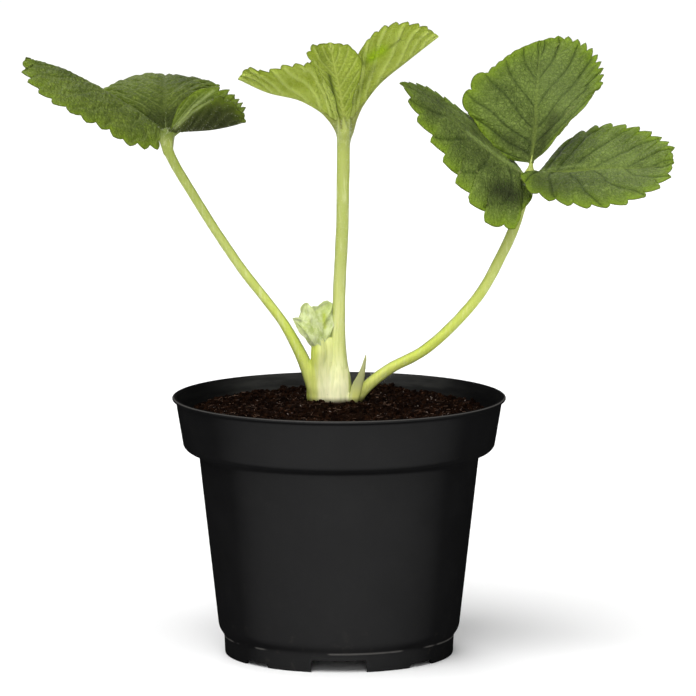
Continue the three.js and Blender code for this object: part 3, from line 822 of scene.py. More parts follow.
crownValues = {
    "youngStem": [(-6, 4, 86, 2.4), (-6.8, 2.8, 97, 2.7), (-7.1, 1.8, 104.5, 2.9), (-7.2, 1, 110, 2.8),
                  (-7.4, 0.6, 115, 1.6)],
    "stipule": [(4.6, 1.4, 88.5, 1.6), (6.4, 0.8, 96, 2.1), (8.3, 0.3, 101.5, 1.25), (9.8, 0.2, 109, 0.25)],
    "webs": [
        [(-4.6, 3, 86, 4.6), (-6.2, 2.2, 97, 4.4), (-6.8, 1.4, 103, 3.4), (-6.9, 1, 106.2, 2.6)],
        [(-4.8, 2.8, 98, 3.2), (-4.6, 2.5, 106, 3.2), (-4.3, 2.3, 111.5, 2.8), (-3.8, 2.3, 114.5, 1.8)],
        [(-8.4, 4.4, 84, 2.8), (-8.8, 4.2, 92, 2.8), (-9.6, 3.8, 99, 2.5), (-12.2, 3.2, 105, 2)],
    ],
    "heart": [(0, 76.5), (6, 77), (8, 80), (9, 84), (9, 87), (7.6, 89), (5, 90.4), (0, 91)],
    "heartSquash": 0.82,
    "sheathOverlap": 1.5,
    "dive": 7.0,
    "cream": (-1.8, 4.4, 7.2),  # its middle in x, and how far to both sides it gives way to green
    "flanks": (-3.5, 5.5, 7.5),  # likewise, where the painted shade on the flanks begins
}


def tube(stops, sides, rings, span=(0, 1), squash=1.0, wobble=0.0, ridges=0, ridgeDepth=0.0, seed=0,
         twist=0.0, dive=0.0):  # the points and faces of a closed tube
    path = smoothPath(stops)
    share = np.linspace(*span, rings)
    centre = pointAt(path, share)
    centre, radius = centre[:, :3], centre[:, 3]
    if dive:  # thinner at the end, which goes in under the next piece
        radius = radius * (1.03 - 0.1 * smoothstep(dive, 0, np.abs(share - span[1])))
    forward = tangentAt(path, share)
    side = unit(np.cross(np.array([0.0, -1.0, 0.0]), forward))
    front = np.cross(side, forward)
    turn = np.arange(sides) / sides * 2 * math.pi
    if twist:  # sharp folds that wind about the tube
        fold = 1 - ridgeDepth * np.abs(np.sin(ridges / 2 * turn[None, :] + twist * share[:, None]))
    else:
        fold = 1 + ridgeDepth * np.cos(ridges * turn)[None, :]
    ring = radius[:, None] * fold
    out = side[:, None] * (ring * np.cos(turn))[..., None]
    out = out + front[:, None] * (ring * squash * np.sin(turn))[..., None]
    points = centre[:, None] + out
    if wobble:
        points = points + unit(out) * (ripple(points, 6, seed) * wobble)[..., None]
    faces = ringFaces(rings, sides)
    faces.append(tuple(reversed(range(sides))))
    faces.append(tuple((rings - 1) * sides + j for j in range(sides)))
    return points.reshape(-1, 3), faces


def fused(name, parts, material, voxel, smoothing):  # parts grown together into one skin
    points, faces = joinParts(parts)
    mesh = meshFrom(name, points * mm, faces)
    outward(mesh)
    piece = newPiece(name, mesh, material)
    remesh = piece.modifiers.new("skin", "REMESH")
    remesh.mode = "VOXEL"
    remesh.voxel_size = voxel * mm
    smooth = piece.modifiers.new("soften", "SMOOTH")
    smooth.factor = 0.5
    smooth.iterations = smoothing
    applyModifiers(piece, name + "_skin")
    piece.data.shade_smooth()
    return piece


def nearAxis(points, paths):  # 0 facing front or back to 1 on the flanks, and which stalk is nearest
    best = np.full(len(points), 1e9)
    flank = np.zeros(len(points))
    which = np.zeros(len(points), int)
    for number, stops in enumerate(paths):
        path = smoothPath(stops)
        share = np.linspace(0, 1, 120)
        centre = pointAt(path, share)
        side = unit(np.cross(np.array([0.0, -1.0, 0.0]), tangentAt(path, share)))
        for k in range(len(share)):
            offset = points - centre[k, :3]
            distance = np.linalg.norm(offset, axis=1) / centre[k, 3]
            closer = distance < best
            best = np.where(closer, distance, best)
            flank = np.where(closer, np.abs(offset @ side[k]) / centre[k, 3], flank)
            which = np.where(closer, number, which)
    return np.clip(flank, 0, 1), which


def fromLine(points, places):  # distance from a chain of straight lines seen from the front
    flat = points[:, [0, 2]]
    places = np.array(places, float)
    away = np.full(len(flat), 1e9)
    for start, end in zip(places[:-1], places[1:]):
        step = end - start
        along = np.clip(((flat - start) @ step) / (step @ step + 1e-9), 0, 1)
        away = np.minimum(away, np.linalg.norm(flat - start - along[:, None] * step, axis=1))
    return away


def paintMarks(piece, values):  # darker and brighter strokes at given places: [(places, width, strength)], on the leaflets painted shadow and painted light
    points = pointsOf(piece.data)
    marks = np.zeros((len(points), 4))
    for channel, key in enumerate(("dark", "bright")):
        for places, width, strength in values.get(key, ()):
            stroke = strength * bell(fromLine(points, places), width)
            marks[:, channel] = np.maximum(marks[:, channel], stroke)
    setColours(piece.data, "marks", marks)
    return piece


def paintStalk(piece, paths, cream, flankShare=1.0, slitShade=(), dullStalk=-1):
    points = pointsOf(piece.data)
    flank, which = nearAxis(points, paths)
    tint = np.zeros((len(points), 4))
    # red marks the flanks and blue the slit, which the material darkens as painted shade; green is the cream
    # base and alpha the dull stalk
    tint[:, 0] = flank * flankShare
    tint[:, 1] = cream
    if slitShade:
        tint[:, 2] = bell(fromLine(points, slitShade), 0.45)
    tint[:, 3] = which == dullStalk
    setColours(piece.data, "tint", tint)
    return piece


# on the flanks the edge colour and the dark outline are painted shade, and the edge colour also makes random
# streaks; the dark slit colour is painted shade, and the soil colour low on the base is soil with painted
# shade
stalkColours = {
    "base": (0.95, 0.93, 0.57, 1),
    "low": (0.74, 0.77, 0.29, 1),
    "middle": (0.42, 0.47, 0.13, 1),
    "high": (0.36, 0.41, 0.1, 1),
    "sideHigh": (0.28, 0.33, 0.065, 1),
    "edge": (0.36, 0.44, 0.05, 1),
    "greenBase": (0.7, 0.72, 0.2, 1),
    "greenLow": (0.58, 0.66, 0.1, 1),
    "outline": (0.14, 0.15, 0.03, 1),
    "slitShade": (0.13, 0.13, 0.01, 1),
    "pale": (0.7, 0.74, 0.4, 1),
    "dull": (0.33, 0.34, 0.17, 1),
    "hub": (0.12, 0.16, 0.025, 1),
    "speck": (0.14, 0.09, 0.04, 1),
    "soil": (0.03, 0.016, 0.008, 1),
}
stalkBands = {  # heights in metres, between which one colour gives way to the next
    "cream": (0.094, 0.112),
    "middle": (0.108, 0.15),
    "high": (0.14, 0.185),
    "dull": (0.093, 0.099),
    # the base, where soil smudges it and painted shade darkens it
    "dirtAndShade": (0.0932, 0.0906),
}


def stalkMaterial(name, high, outline, hub=None):  # from the height hub up it is as green as the leaf
    material, tree, shader = newMaterial(
        name, Specular_IOR_Level=0.3, Subsurface_Weight=0.15, Subsurface_Scale=0.002,
        Subsurface_Radius=(1.0, 0.8, 0.3))
    colours, bands = {**stalkColours, "high": high}, stalkBands
    place = objectPlace(tree)
    z = axesOf(tree, place)["Z"]
    painted = attribute(tree, "tint")
    tint = channelsOf(tree, painted["Color"])
    streak = noise(tree, stretched(tree, place, (1, 1, 0.09)), 1.1, 3, 0.6)
    pale = noise(tree, stretched(tree, place, (1, 1, 0.12)), 0.8, 2)
    crumbly = noise(tree, place, 0.35, 3, 0.6)
    rising = spread(tree, z, *bands["cream"])
    cream = mixColour(tree, rising, colours["base"], colours["low"])
    green = mixColour(tree, rising, colours["greenBase"], colours["greenLow"])
    layers = [
        (spread(tree, z, *bands["middle"]), "middle"),
        (spread(tree, z, *bands["high"]), "high"),
        # the flanks darker: painted shade
        (spread(tree, tint["Red"], 0.45, 1.0, 0.0, 0.55), "edge"),
        (spread(tree, streak, 0.4, 0.7, 0.0, 0.3), "edge"),
        (spread(tree, pale, 0.52, 0.72, 0.0, 0.35), "pale"),
        (product(tree, painted["Alpha"], spread(tree, z, *bands["dull"], 0.15, 0.85)), "dull"),
        # a dark outline on the flanks: painted shade
        (spread(tree, tint["Red"], 0.84, 1.0, 0.0, outline), "outline"),
        # the dark line in the slit under the centre hub: painted shade
        (product(tree, tint["Blue"], 0.85), "slitShade"),
    ]
    if hub:
        layers.append((spread(tree, z, hub - 0.003, hub + 0.002, 0.0, 0.95), "hub"))
    layers += [
        (spread(tree, cells(tree, place, 0.55), 0.1, 0.03, 0.0, 0.5), "speck"),
        # soil on the base, with painted shade low down
        (product(tree, spread(tree, z, *bands["dirtAndShade"]), spread(tree, crumbly, 0.3, 0.6, 0.85, 1.0)), "soil"),
    ]
    tone = layered(tree, mixColour(tree, tint["Green"], green, cream), colours, layers)
    tree.links.new(tone, shader.inputs["Base Color"])
    tree.links.new(calculate(tree, "MULTIPLY_ADD", streak, 0.2, 0.38), shader.inputs["Roughness"])
    addBump(tree, shader, streak, 0.1, 0.6)
    return material


stemSkin = stalkMaterial("stalk skin", stalkColours["high"], outline=0.6)
sideStemSkin = stalkMaterial("side stalk skin", stalkColours["sideHigh"], outline=0.75, hub=0.1868)
crownSkin = stalkMaterial("crown skin", stalkColours["high"], outline=0.5)


def stalkletParts(name):
    values = stalkValues[name]
    top = np.array(values["stops"][-1][:3], float)
    hub = top - tangentAt(smoothPath(values["stops"]), np.array(0.99)) * values["below"]
    parts = [tube(values["swelling"], 20, 12)]
    for leafletName, leaflet in leaflets.items():
        if not leafletName.startswith(name):
            continue
        path = smoothPath(leaflet["mid"])
        base = pointAt(path, np.array(0.0))
        reach = leaflet.get("ribReach", values["reach"])
        along = [pointAt(path, np.array(reach * k)) for k in (0.0, 0.3, 0.65, 1.0)]
        forward = tangentAt(path, np.array(0.02))
        middle = hub * 0.45 + base * 0.55 - forward * 0.4
        level = max(math.hypot(forward[0], forward[1]), values["steepest"])
        places = [hub, middle] + [p - (0, 0, (0.25 + r) / level) for p, r in zip(along, values["radii"][2:])]
        parts.append(tube([(*p, r) for p, r in zip(places, values["radii"])], 20, 40))
    return parts


def makeStalk(name):
    values = stalkValues[name]
    stops = values["stops"]
    start = (values["sheath"] - stalkStart) / pathLength(stops)
    stalk = tube(stops, 32, 230, (start, 1), values["squash"],
                 wobble=0.05, ridges=5, ridgeDepth=0.03, seed=11)
    skin = stemSkin if name == "centre" else sideStemSkin
    piece = fused(name + "_stalk", [stalk, *stalkletParts(name)], skin, voxel=0.42, smoothing=3)
    return paintStalk(piece, [stops], values["cream"], slitShade=values["slitShade"])


def makeCrown(values):
    parts = []
    for stalk in stalkValues.values():
        length = pathLength(stalk["stops"])
        end = (stalk["sheath"] + values["sheathOverlap"]) / length
        parts.append(tube(stalk["stops"], 40, 60, (0, end), stalk["squash"],
                          wobble=0.1, ridges=7, ridgeDepth=0.015, seed=5, dive=values["dive"] / length))
    for web in values["webs"]:
        parts.append(tube(web, 32, 40, squash=0.6, wobble=0.12, ridges=3, ridgeDepth=0.02, seed=6))
    youngStem, stipule = values["youngStem"], values["stipule"]
    parts.append(tube(youngStem, 24, 40, (0, 0.98), wobble=0.08, ridges=4, ridgeDepth=0.04, seed=7))
    parts.append(tube(stipule, 24, 50, squash=0.42, wobble=0.1, ridges=3, ridgeDepth=0.06, seed=8))
    heart = turnedMesh("heart", rounded([(r, z, 1.2 if r > 0 else 0) for r, z in values["heart"]]), 48)
    parts.append((pointsOf(heart) * (1, values["heartSquash"], 1) + (*crownPlace, 0),
                  [tuple(face.vertices) for face in heart.polygons]))
    piece = fused("crown_sheaths", parts, crownSkin, voxel=0.3, smoothing=9)

    def fromMiddle(middle, low, high):
        return smoothstep(low, high, np.abs(pointsOf(piece.data)[:, 0] - middle))

    paths = [*(stalk["stops"] for stalk in stalkValues.values()), youngStem, stipule]
    return paintStalk(piece, paths, 1 - fromMiddle(*values["cream"]), fromMiddle(*values["flanks"]),
                      dullStalk=paths.index(stipule))


# leaflets: the midrib and the two margins of each, in millimetres, from its base to its tip

# on each leaflet the dark strokes are painted shadow and the bright strokes painted light
leaflets = {
    "left_outer": {
        "mid": [(-64, 2, 190), (-73.5, 1, 197.5), (-86, 0, 205.5), (-99.5, -2, 212.5), (-111.5, -4, 216)],
        "left": [(-64.6, -7, 185.4), (-75.8, -17, 187.8), (-81.5, -19, 191.8), (-90.3, -24, 197.2),
                 (-99.4, -24, 202.3), (-107.6, -18, 208), (-110.8, -10, 212.6)],
        "right": [(-71, 13, 191), (-82.5, 20, 198), (-96, 19, 203.5), (-106.5, 10, 210)],
        "teeth": 12, "start": (0.09, 0.35), "toothDepth": (2.6, 2.5), "arch": (1.5, 0.4), "lean": 1.7,
        "fade": (0.05, 0.1), "toothSlant": 0.1,
    },
    "left_middle": {
        "mid": [(-62, 3.8, 187.8), (-62.5, 15, 200), (-63, 26, 205.5), (-63, 38, 205.5), (-63, 50, 200)],
        "left": [(-73.5, 8, 192.6), (-83, 19, 199.6), (-83.3, 32, 201.2), (-77.5, 44, 201.8), (-69, 50, 201)],
        "right": [(-54, 8, 193.4), (-48.5, 18, 200.6), (-45.5, 32, 202), (-49, 44, 199.5),
                  (-56.5, 50, 198.5)],
        "teeth": 10, "start": (0.35, 0.35), "toothDepth": (2.4, 2.4), "arch": (3, 3), "lean": 1.5,
        "dark": [([(-67, 192), (-62, 192), (-57, 193)], 5, 0.8), ([(-57, 204), (-54, 197)], 5, 0.3),
                 ([(-63, 193), (-63.5, 204)], 3.5, 0.3)],
    },
    "left_inner": {
        "mid": [(-60.2, 0.6, 189.4), (-53.5, -6, 190.5), (-44.5, -14, 192), (-37.5, -20, 194),
                (-33.6, -24, 195.6)],
        "left": [(-57, 6, 198), (-49.5, 9, 203.4), (-42, 3, 202.6), (-38, -6, 200.4), (-35.2, -15, 198.4)],
        "right": [(-55.7, -8, 193.2), (-50.3, -18, 200), (-42.4, -24.5, 202.8), (-36.8, -27, 200.5)],
        "teeth": 7, "start": (0.4, 0.25), "bare": (0.34, 0.62), "toothDepth": (2.6, 2.6),
        "arch": (-0.5, -0.5), "lean": 1.6, "fade": (0.1, 0.1),
        "bright": [([(-58.5, 190.5), (-52, 197.5), (-45, 203)], 0.5, 0.45)],
    },
    "centre_left": {
        "mid": [(0.5, 2, 191), (-3.7, 0, 195), (-13.2, -2, 200.9), (-25.5, -4, 204.2), (-35.5, -6, 209)],
        "left": [(-0.5, -4, 200), (-7, -9, 212), (-17.5, -13, 213.5), (-26, -12, 211), (-32.5, -9, 212)],
        "right": [(-1.5, 6, 197), (-8.5, 9, 209), (-17.5, 8, 209.5), (-26, 3, 208.5), (-32.5, -2, 210.5)],
        "teeth": 8, "start": (0.4, 0.4), "toothDepth": (1.7, 1.7), "arch": (0.5, 0.5), "lean": 1.9,
    },
    "centre_middle": {
        "mid": [(2, -3.5, 192), (1, -10, 200.5), (-0.8, -17, 210.2), (-2.2, -22, 217.4), (-3, -24, 222.6)],
        "left": [(0.4, -4.2, 193), (-1, -9, 200), (-6, -14, 211), (-9.8, -17, 216.4), (-9.6, -19, 220),
                 (-7, -22, 222)],
        "right": [(3.6, -4.2, 193.2), (5, -9, 201.5), (7.8, -14, 209.8), (8, -17, 216), (5.2, -19, 220),
                  (1.2, -22, 222)],
        "teeth": 8, "start": (0.2, 0.2), "bare": (0.5, 0.76), "toothDepth": (1.6, 1.6),
        "arch": (0.5, 0.5), "lean": 1.4, "ribReach": 0.12,
        "dark": [([(-3.4, 210.5), (-2.2, 205), (-1.1, 198), (0.2, 192.5)], 0.8, 1.0),
                 ([(-6, 218), (-3.4, 210)], 1.6, 0.25)],
    },
    "centre_right": {
        "mid": [(3.6, 2, 191.3), (6.5, 1, 196.6), (13.4, -1, 206.2), (24.5, -3, 215.6), (35, -5, 224)],
        "left": [(3.5, 7, 197.5), (7, 10, 208), (12, 9, 218.5), (20.5, 4, 225), (29, -1, 225.5)],
        "right": [(4, -3, 199.5), (5.4, -8, 211.5), (7.8, -11, 219.4), (12.6, -13, 224.8),
                  (20.5, -13, 228), (30, -9, 227)],
        "teeth": 9, "start": (0.4, 0.45), "bare": (0, 0.5), "toothDepth": (1.6, 1.6),
        "arch": (0.5, 0.5), "lean": 1.9,
        "bright": [([(11.5, 216.2), (15.4, 219)], 2.0, 0.9)],
        "dark": [([(9, 214), (12, 216.4)], 1.2, 0.6), ([(14.6, 217), (22, 223)], 0.5, 0.5),
                 ([(4, 198), (12.6, 213)], 1.1, 0.45)],
    },
    "right_inner": {
        "mid": [(66, -6, 174.5), (58, -8, 180), (45.5, -9, 189.5), (32.5, -8, 201), (22, -6, 207.5)],
        "left": [(69, -12, 167.5), (64.5, -19, 162.5), (58, -22, 158), (49.8, -23, 165.3),
                 (42.5, -23, 175.4), (35.6, -21, 186.7), (28.4, -18, 197), (25, -12, 203.5)],
        "right": [(63, 6, 177.5), (55, 14, 184), (44.5, 16, 195), (36.5, 11, 200.5), (27.5, 2, 205.5)],
        "teeth": 9, "start": (0.2, 0.4), "toothDepth": (3.6, 2.4), "arch": (2, 0.4), "lean": 1.8,
        "dark": [([(57, 170), (62.5, 168)], 4.6, 0.9), ([(47, 186), (62, 172)], 5, 0.3),
                 ([(25, 204), (34, 198)], 4, 0.35)],
        "bright": [([(66, 174.5), (58, 180), (45.5, 189.5)], 0.45, 0.5)],
    },
    "right_middle": {
        "mid": [(68.5, -4, 178), (70, 4, 186.5), (71, 15, 199), (72.2, 25, 210), (73.5, 33, 218.8)],
        "left": [(63.2, -1.6, 178.4), (57, 0.4, 181), (50, 6, 189.4), (46.2, 10, 198.4), (49.4, 14, 204.8),
                 (54.2, 19, 208.6), (59, 24, 212.2), (64.5, 28.5, 215.4), (70, 31.5, 217.8)],
        "right": [(74.5, -6, 183.5), (80.5, -1, 191), (89, 6, 198), (93, 13, 205), (92, 22, 212.4),
                  (87, 29, 217), (80, 33, 219)],
        "teeth": 11, "start": (0.38, 0.5), "toothDepth": (1.3, 2.4), "arch": (1.5, 1), "lean": 1.7,
        "dark": [([(71.6, 181), (73.5, 187), (77.5, 194)], 2.2, 0.6), ([(60, 186), (68, 180)], 4, 0.4),
                 ([(70, 180), (70.4, 192)], 4, 0.35)],
        "bright": [([(76, 206), (84, 198)], 7, 0.2)],
        "fade": (0.6, 0.15), "lobes": [(0, 0.465, 0.06, 2.3), (0, 0.585, 0.06, 2.6)],
    },
    "right_outer": {
        "mid": [(71, -5, 175), (79.5, -5, 175), (95.5, -6, 176.5), (110, -8, 177), (119.2, -10, 179.5)],
        "left": [(73, 0, 175.5), (76, 6, 179.2), (82.5, 13, 184.3), (94, 15, 188.5), (105.5, 12, 188),
                 (113, 6, 185.5), (117.2, -2, 183)],
        "right": [(64.5, -14, 175), (67.5, -20, 171), (78.5, -25, 167), (94, -27, 166),
                  (106.5, -25, 169), (115.2, -18, 174)],
        "teeth": 10, "start": (0.34, 0.2), "toothDepth": (2.7, 2.9), "arch": (1, 1.5), "lean": 1.9,
        "fade": (0.1, 0.1),
        "dark": [([(72, 172), (79, 171)], 4, 0.4)],
        "bright": [([(73, 175.5), (88, 177.5)], 0.4, 0.35), ([(98, 180), (106, 176)], 6, 0.15)],
    },
}
bladeValues = {
    "baseShare": 0.3,
    "baseHalfWidth": 0.7,
    "tipHalfWidth": 1.2,
    "firstRowEnd": 0.07,
    "evenPart": 0.1,
    "toothSlant": 0.45,
    "toothFade": 0.15,
    "toothPeak": 0.6,
    "rowsPerTooth": 14,
    "columns": 30,
    "thickness": 0.34,
    "ribDepth": 0.55,
}
bladeKinds = {  # quilting swells between side veins, pucker is the fine net, ridge stands out underneath
    "right": {
        "veins": 6.5, "slant": 1.0, "stray": 0.14, "veinWidth": 0.19, "grooveWidth": 0.7, "quilting": 0.4,
        "pucker": 0.2, "ridge": 0.22, "paleBase": 0.0, "midribTip": 0.25, "marginWidth": 3.2,
    },
    "left": {
        "veins": 7.5, "slant": 2.2, "stray": 0.16, "veinWidth": 0.2, "grooveWidth": 0.8, "quilting": 0.38,
        "pucker": 0.26, "ridge": 0.22, "paleBase": 0.25, "midribTip": 0.6, "marginWidth": 3.0,
    },
    "centre": {
        "veins": 7.5, "slant": 1.3, "stray": 0.4, "veinWidth": 0.36, "grooveWidth": 0.9, "quilting": 0.4,
        "pucker": 0.16, "ridge": 0.26, "paleBase": 0.9, "midribTip": 1.0, "marginWidth": 2.4,
    },
}


def toothProfile(cycle, peak):  # 0 in the sharp notch to 1 at the small point, with rounded flanks
    away = np.where(cycle < peak, 1 - cycle / peak, (cycle - peak) / (1 - peak))
    return 0.9 * (1 - away ** 1.9) + 0.14 * bell(away, 0.14)


def bladeHalf(leaflet, half, station, phase):
    values = bladeValues
    mid = smoothPath(leaflet["mid"])
    margin = np.array(leaflet["left" if half == 0 else "right"], float)
    base, tip = np.array(leaflet["mid"][0], float), np.array(leaflet["mid"][-1], float)
    first = base + unit(margin[0] - base) * values["baseHalfWidth"]
    last = tip + unit(margin[-1] - tip) * values["tipHalfWidth"]
    edge = smoothPath([first, *margin, last])
    onMid = (1 - values["evenPart"]) * station ** leaflet["lean"] + values["evenPart"] * station
    origin, forward = pointAt(mid, onMid), tangentAt(mid, onMid)
    share, low = values["baseShare"], values["firstRowEnd"]
    start = leaflet["start"][half]
    toothed = (station - share) / (1 - share)
    onEdge = np.where(toothed < 0, low + station / share * (start - low), start + toothed * (1 - start))
    end, along = pointAt(edge, onEdge), tangentAt(edge, onEdge)
    aim = end - origin
    aim = unit(aim - along * (aim * along).sum(-1, keepdims=True))
    aim = unit(aim + leaflet.get("toothSlant", values["toothSlant"]) * along)
    rise = toothProfile(np.mod(phase, 1.0), values["toothPeak"])
    rise = rise * ((phase > 0) & (phase < leaflet["teeth"]))
    rise = rise * np.clip((1 - station) / leaflet.get("fade", (values["toothFade"],) * 2)[half], 0, 1)
    bare = leaflet.get("bare", (0, 0))[half]
    rise = rise * np.clip((onEdge - bare) / values["toothFade"], 0, 1)
    push = leaflet["toothDepth"][half] * rise
    for side, middle, width, depth in leaflet.get("lobes", ()):
        if side == half:
            inside = np.clip(1 - ((onEdge - middle) / width) ** 2, 0, 1)
            push = np.where(inside > 0, depth * np.sqrt(inside), push)
    end = end + aim * push[:, None]
    across = end - origin
    up = unit(np.cross(across, forward)) * (-1 if half == 0 else 1)
    bulge = leaflet["arch"][half] * np.sin(math.pi * station ** 0.8)
    out = np.linspace(0, 1, values["columns"] + 1) ** 0.9
    grid = origin[:, None] + across[:, None] * out[None, :, None]
    grid = grid + up[:, None] * (bulge[:, None] * 4 * out * (1 - out))[..., None]
    return grid, np.linalg.norm(across, axis=1), out


def surfaceNormals(grid):
    rowStep = np.gradient(grid, axis=0)
    columnStep = np.gradient(grid, axis=1)
    return unit(np.cross(columnStep, rowStep))


def nearest(grid, phase):  # distance in millimetres to the nearest line where the phase is a whole number
    byRow, byColumn = np.gradient(grid, axis=0), np.gradient(grid, axis=1)
    phaseRow, phaseColumn = np.gradient(phase, axis=0), np.gradient(phase, axis=1)
    rr, cc = (byRow ** 2).sum(-1), (byColumn ** 2).sum(-1)
    rc = (byRow * byColumn).sum(-1)
    area = np.maximum(rr * cc - rc ** 2, 1e-9)
    steep = (cc * phaseRow ** 2 - 2 * rc * phaseRow * phaseColumn + rr * phaseColumn ** 2) / area
    return np.abs(phase - np.round(phase)) / np.sqrt(np.maximum(steep, 1e-6))


def bladeFaces(rows, columns):  # the upper face, the underside and the wall round them
    index = np.arange(rows * columns).reshape(rows, columns)
    a, b = index[:-1, :-1].ravel(), index[:-1, 1:].ravel()
    c, d = index[1:, 1:].ravel(), index[1:, :-1].ravel()
    top = np.stack([a, b, c, d], 1)
    bottom = np.stack([a, d, c, b], 1) + index.size
    rim = np.concatenate([index[:, 0], index[-1, 1:], index[-2::-1, -1], index[0, -2:0:-1]])
    ahead = np.roll(rim, -1)
    wall = np.stack([rim, ahead, ahead + index.size, rim + index.size], 1)
    return np.vstack([top, bottom, wall])


def makeBlade(name, leaflet, kind, material, seed):
    values = bladeValues
    teeth, share = leaflet["teeth"], values["baseShare"]
    baseRows = int(share / (1 - share) * teeth * values["rowsPerTooth"])
    station = np.concatenate([np.linspace(0, share, baseRows, endpoint=False),
                              np.linspace(share, 1, teeth * values["rowsPerTooth"] + 1)])
    phase = (station - share) / (1 - share) * teeth
    left, leftLength, out = bladeHalf(leaflet, 0, station, phase)
    right, rightLength, _ = bladeHalf(leaflet, 1, station, phase)
    grid = np.concatenate([left[:, ::-1], right[:, 1:]], axis=1)
    signed = np.concatenate([-out[::-1], out[1:]])
    rowLength = np.where(signed < 0, leftLength[:, None], rightLength[:, None])
    along, aside = station[:, None], np.abs(signed)[None, :]
    reach, toMargin = aside * rowLength, (1 - aside) * rowLength

    # side veins curve forward to the tooth tips, and finer ones join them near the margin
    rate = kind["veins"] * (1 - share) / teeth
    veinPhase = phase[:, None] * rate - kind["slant"] * aside ** 1.15
    veinPhase = veinPhase + kind["stray"] * ripple(grid, 18, seed + 80)
    fromVein = nearest(grid, veinPhase)
    fromBranch = nearest(grid, veinPhase * 2 + 0.5 - 0.5 * aside)
    grown = smoothstep(0.0, 0.07, aside) * smoothstep(0.02, 0.1, along) * smoothstep(0.0, 1.5, toMargin)
    branchGrown = 0.6 * grown * smoothstep(0.5, 0.85, aside)
    vein = bell(fromVein, kind["veinWidth"]) * grown
    branch = bell(fromBranch, kind["veinWidth"]) * branchGrown
    swell = 1 - bell(fromVein, kind["grooveWidth"]) * grown - 0.3 * bell(fromBranch, 0.7) * branchGrown

    # the upper face swells between the veins, is puckered by the net and waves towards the margin
    relief = kind["quilting"] * (swell - 0.8) * smoothstep(0.0, 2.5, reach) * smoothstep(0.03, 0.15, along)
    relief = relief - 0.15 * vein - 0.4 * bell(reach, 0.7) * smoothstep(0.0, 0.05, along)
    net = ripple(grid, 2.8, seed) + 0.45 * ripple(grid, 1.5, seed + 7)
    relief = relief + kind["pucker"] * net * grown
    wave = ripple(grid, 19, seed + 40) * 0.5 * smoothstep(0.3, 1, aside)
    relief = relief + wave * smoothstep(0.05, 0.3, along)
    grid = grid + surfaceNormals(grid) * relief[..., None]

    # the underside carries the midrib and the veins, and comes closer at the margin
    rib = values["ribDepth"] * bell(reach, 0.65) * (1 - 0.7 * along)
    ridge = kind["ridge"] * (bell(fromVein, 0.5) * grown + 0.5 * bell(fromBranch, 0.4) * branchGrown)
    thin = values["thickness"] * (1 - 0.45 * smoothstep(0.85, 1, aside))
    under = grid - surfaceNormals(grid) * (thin + rib + ridge)[..., None]
    points = np.vstack([grid.reshape(-1, 3), under.reshape(-1, 3)])
    mesh = meshFrom(name, points * mm, bladeFaces(*reach.shape))

    fromBase = np.linalg.norm(grid - grid[0, values["columns"]], axis=-1)
    midrib = bell(reach, 0.6 - 0.35 * along)
    midrib = midrib * (kind["midribTip"] + (1 - kind["midribTip"]) * bell(fromBase, 20))
    # the swell goes in the alpha, and the material darkens its hollows as painted shade
    paint = np.stack([
        np.clip(vein + 0.6 * branch, 0, 1),
        np.clip(midrib + kind["paleBase"] * bell(fromBase, 4.5), 0, 1),
        np.exp(-toMargin / kind["marginWidth"]),
        np.clip(swell, 0, 1),
    ], -1)
    setColours(mesh, "veins", [paint, paint])
    setNumbers(mesh, "underside", np.repeat([0, 1], reach.size))
    hairy = (aside > 0.985) * smoothstep(0.05, 0.2, along)
    ribs = bell(reach, 1.2) + 0.5 * vein
    setNumbers(mesh, "scatter", [hairy, hairy + 0.6 * ribs])
    return paintMarks(newPiece(name, mesh, material), leaflet)


# dark and bright colour the painted shadow and painted light strokes; the right leaf's dark vein colour and
# the left leaf's dark underside colours are painted shade
leafColours = {
    "right": {
        "deep": (0.038, 0.062, 0.006, 1), "light": (0.14, 0.2, 0.035, 1), "grooveShade": (0.024, 0.044, 0.004, 1),
        "vein": (0.028, 0.048, 0.006, 1), "midrib": (0.22, 0.29, 0.05, 1), "margin": (0.2, 0.31, 0.008, 1),
        "net": (0.27, 0.34, 0.09, 1), "rim": (0.04, 0.04, 0.008, 1), "under": (0.09, 0.11, 0.025, 1),
        "underLight": (0.15, 0.18, 0.05, 1), "underVein": (0.27, 0.32, 0.1, 1), "rough": 0.46, "blotch": 0.4,
        "dark": (0.014, 0.019, 0.003, 1), "bright": (0.27, 0.36, 0.1, 1),
    },
    "left": {
        "deep": (0.038, 0.06, 0.004, 1), "light": (0.12, 0.165, 0.016, 1), "grooveShade": (0.028, 0.046, 0.004, 1),
        "vein": (0.21, 0.27, 0.06, 1), "midrib": (0.13, 0.175, 0.03, 1), "margin": (0.165, 0.245, 0.007, 1),
        "net": (0.25, 0.32, 0.06, 1), "rim": (0.03, 0.032, 0.006, 1), "under": (0.015, 0.02, 0.002, 1),
        "underLight": (0.03, 0.038, 0.005, 1), "underVein": (0.055, 0.068, 0.012, 1),
        "rough": 0.48, "blotch": 0.65,
        "dark": (0.02, 0.028, 0.004, 1), "bright": (0.42, 0.5, 0.18, 1),
    },
    "centre": {
        "deep": (0.2, 0.27, 0.018, 1), "light": (0.37, 0.45, 0.06, 1), "grooveShade": (0.17, 0.23, 0.012, 1),
        "vein": (0.45, 0.53, 0.11, 1), "midrib": (0.47, 0.54, 0.11, 1), "margin": (0.26, 0.35, 0.016, 1),
        "net": (0.47, 0.54, 0.12, 1), "rim": (0.05, 0.05, 0.014, 1), "under": (0.27, 0.34, 0.025, 1),
        "underLight": (0.43, 0.51, 0.09, 1), "underVein": (0.53, 0.62, 0.15, 1),
        "rough": 0.55, "blotch": 0.15,
        "dark": (0.085, 0.12, 0.007, 1), "bright": (0.33, 0.5, 0.01, 1),
    },
}


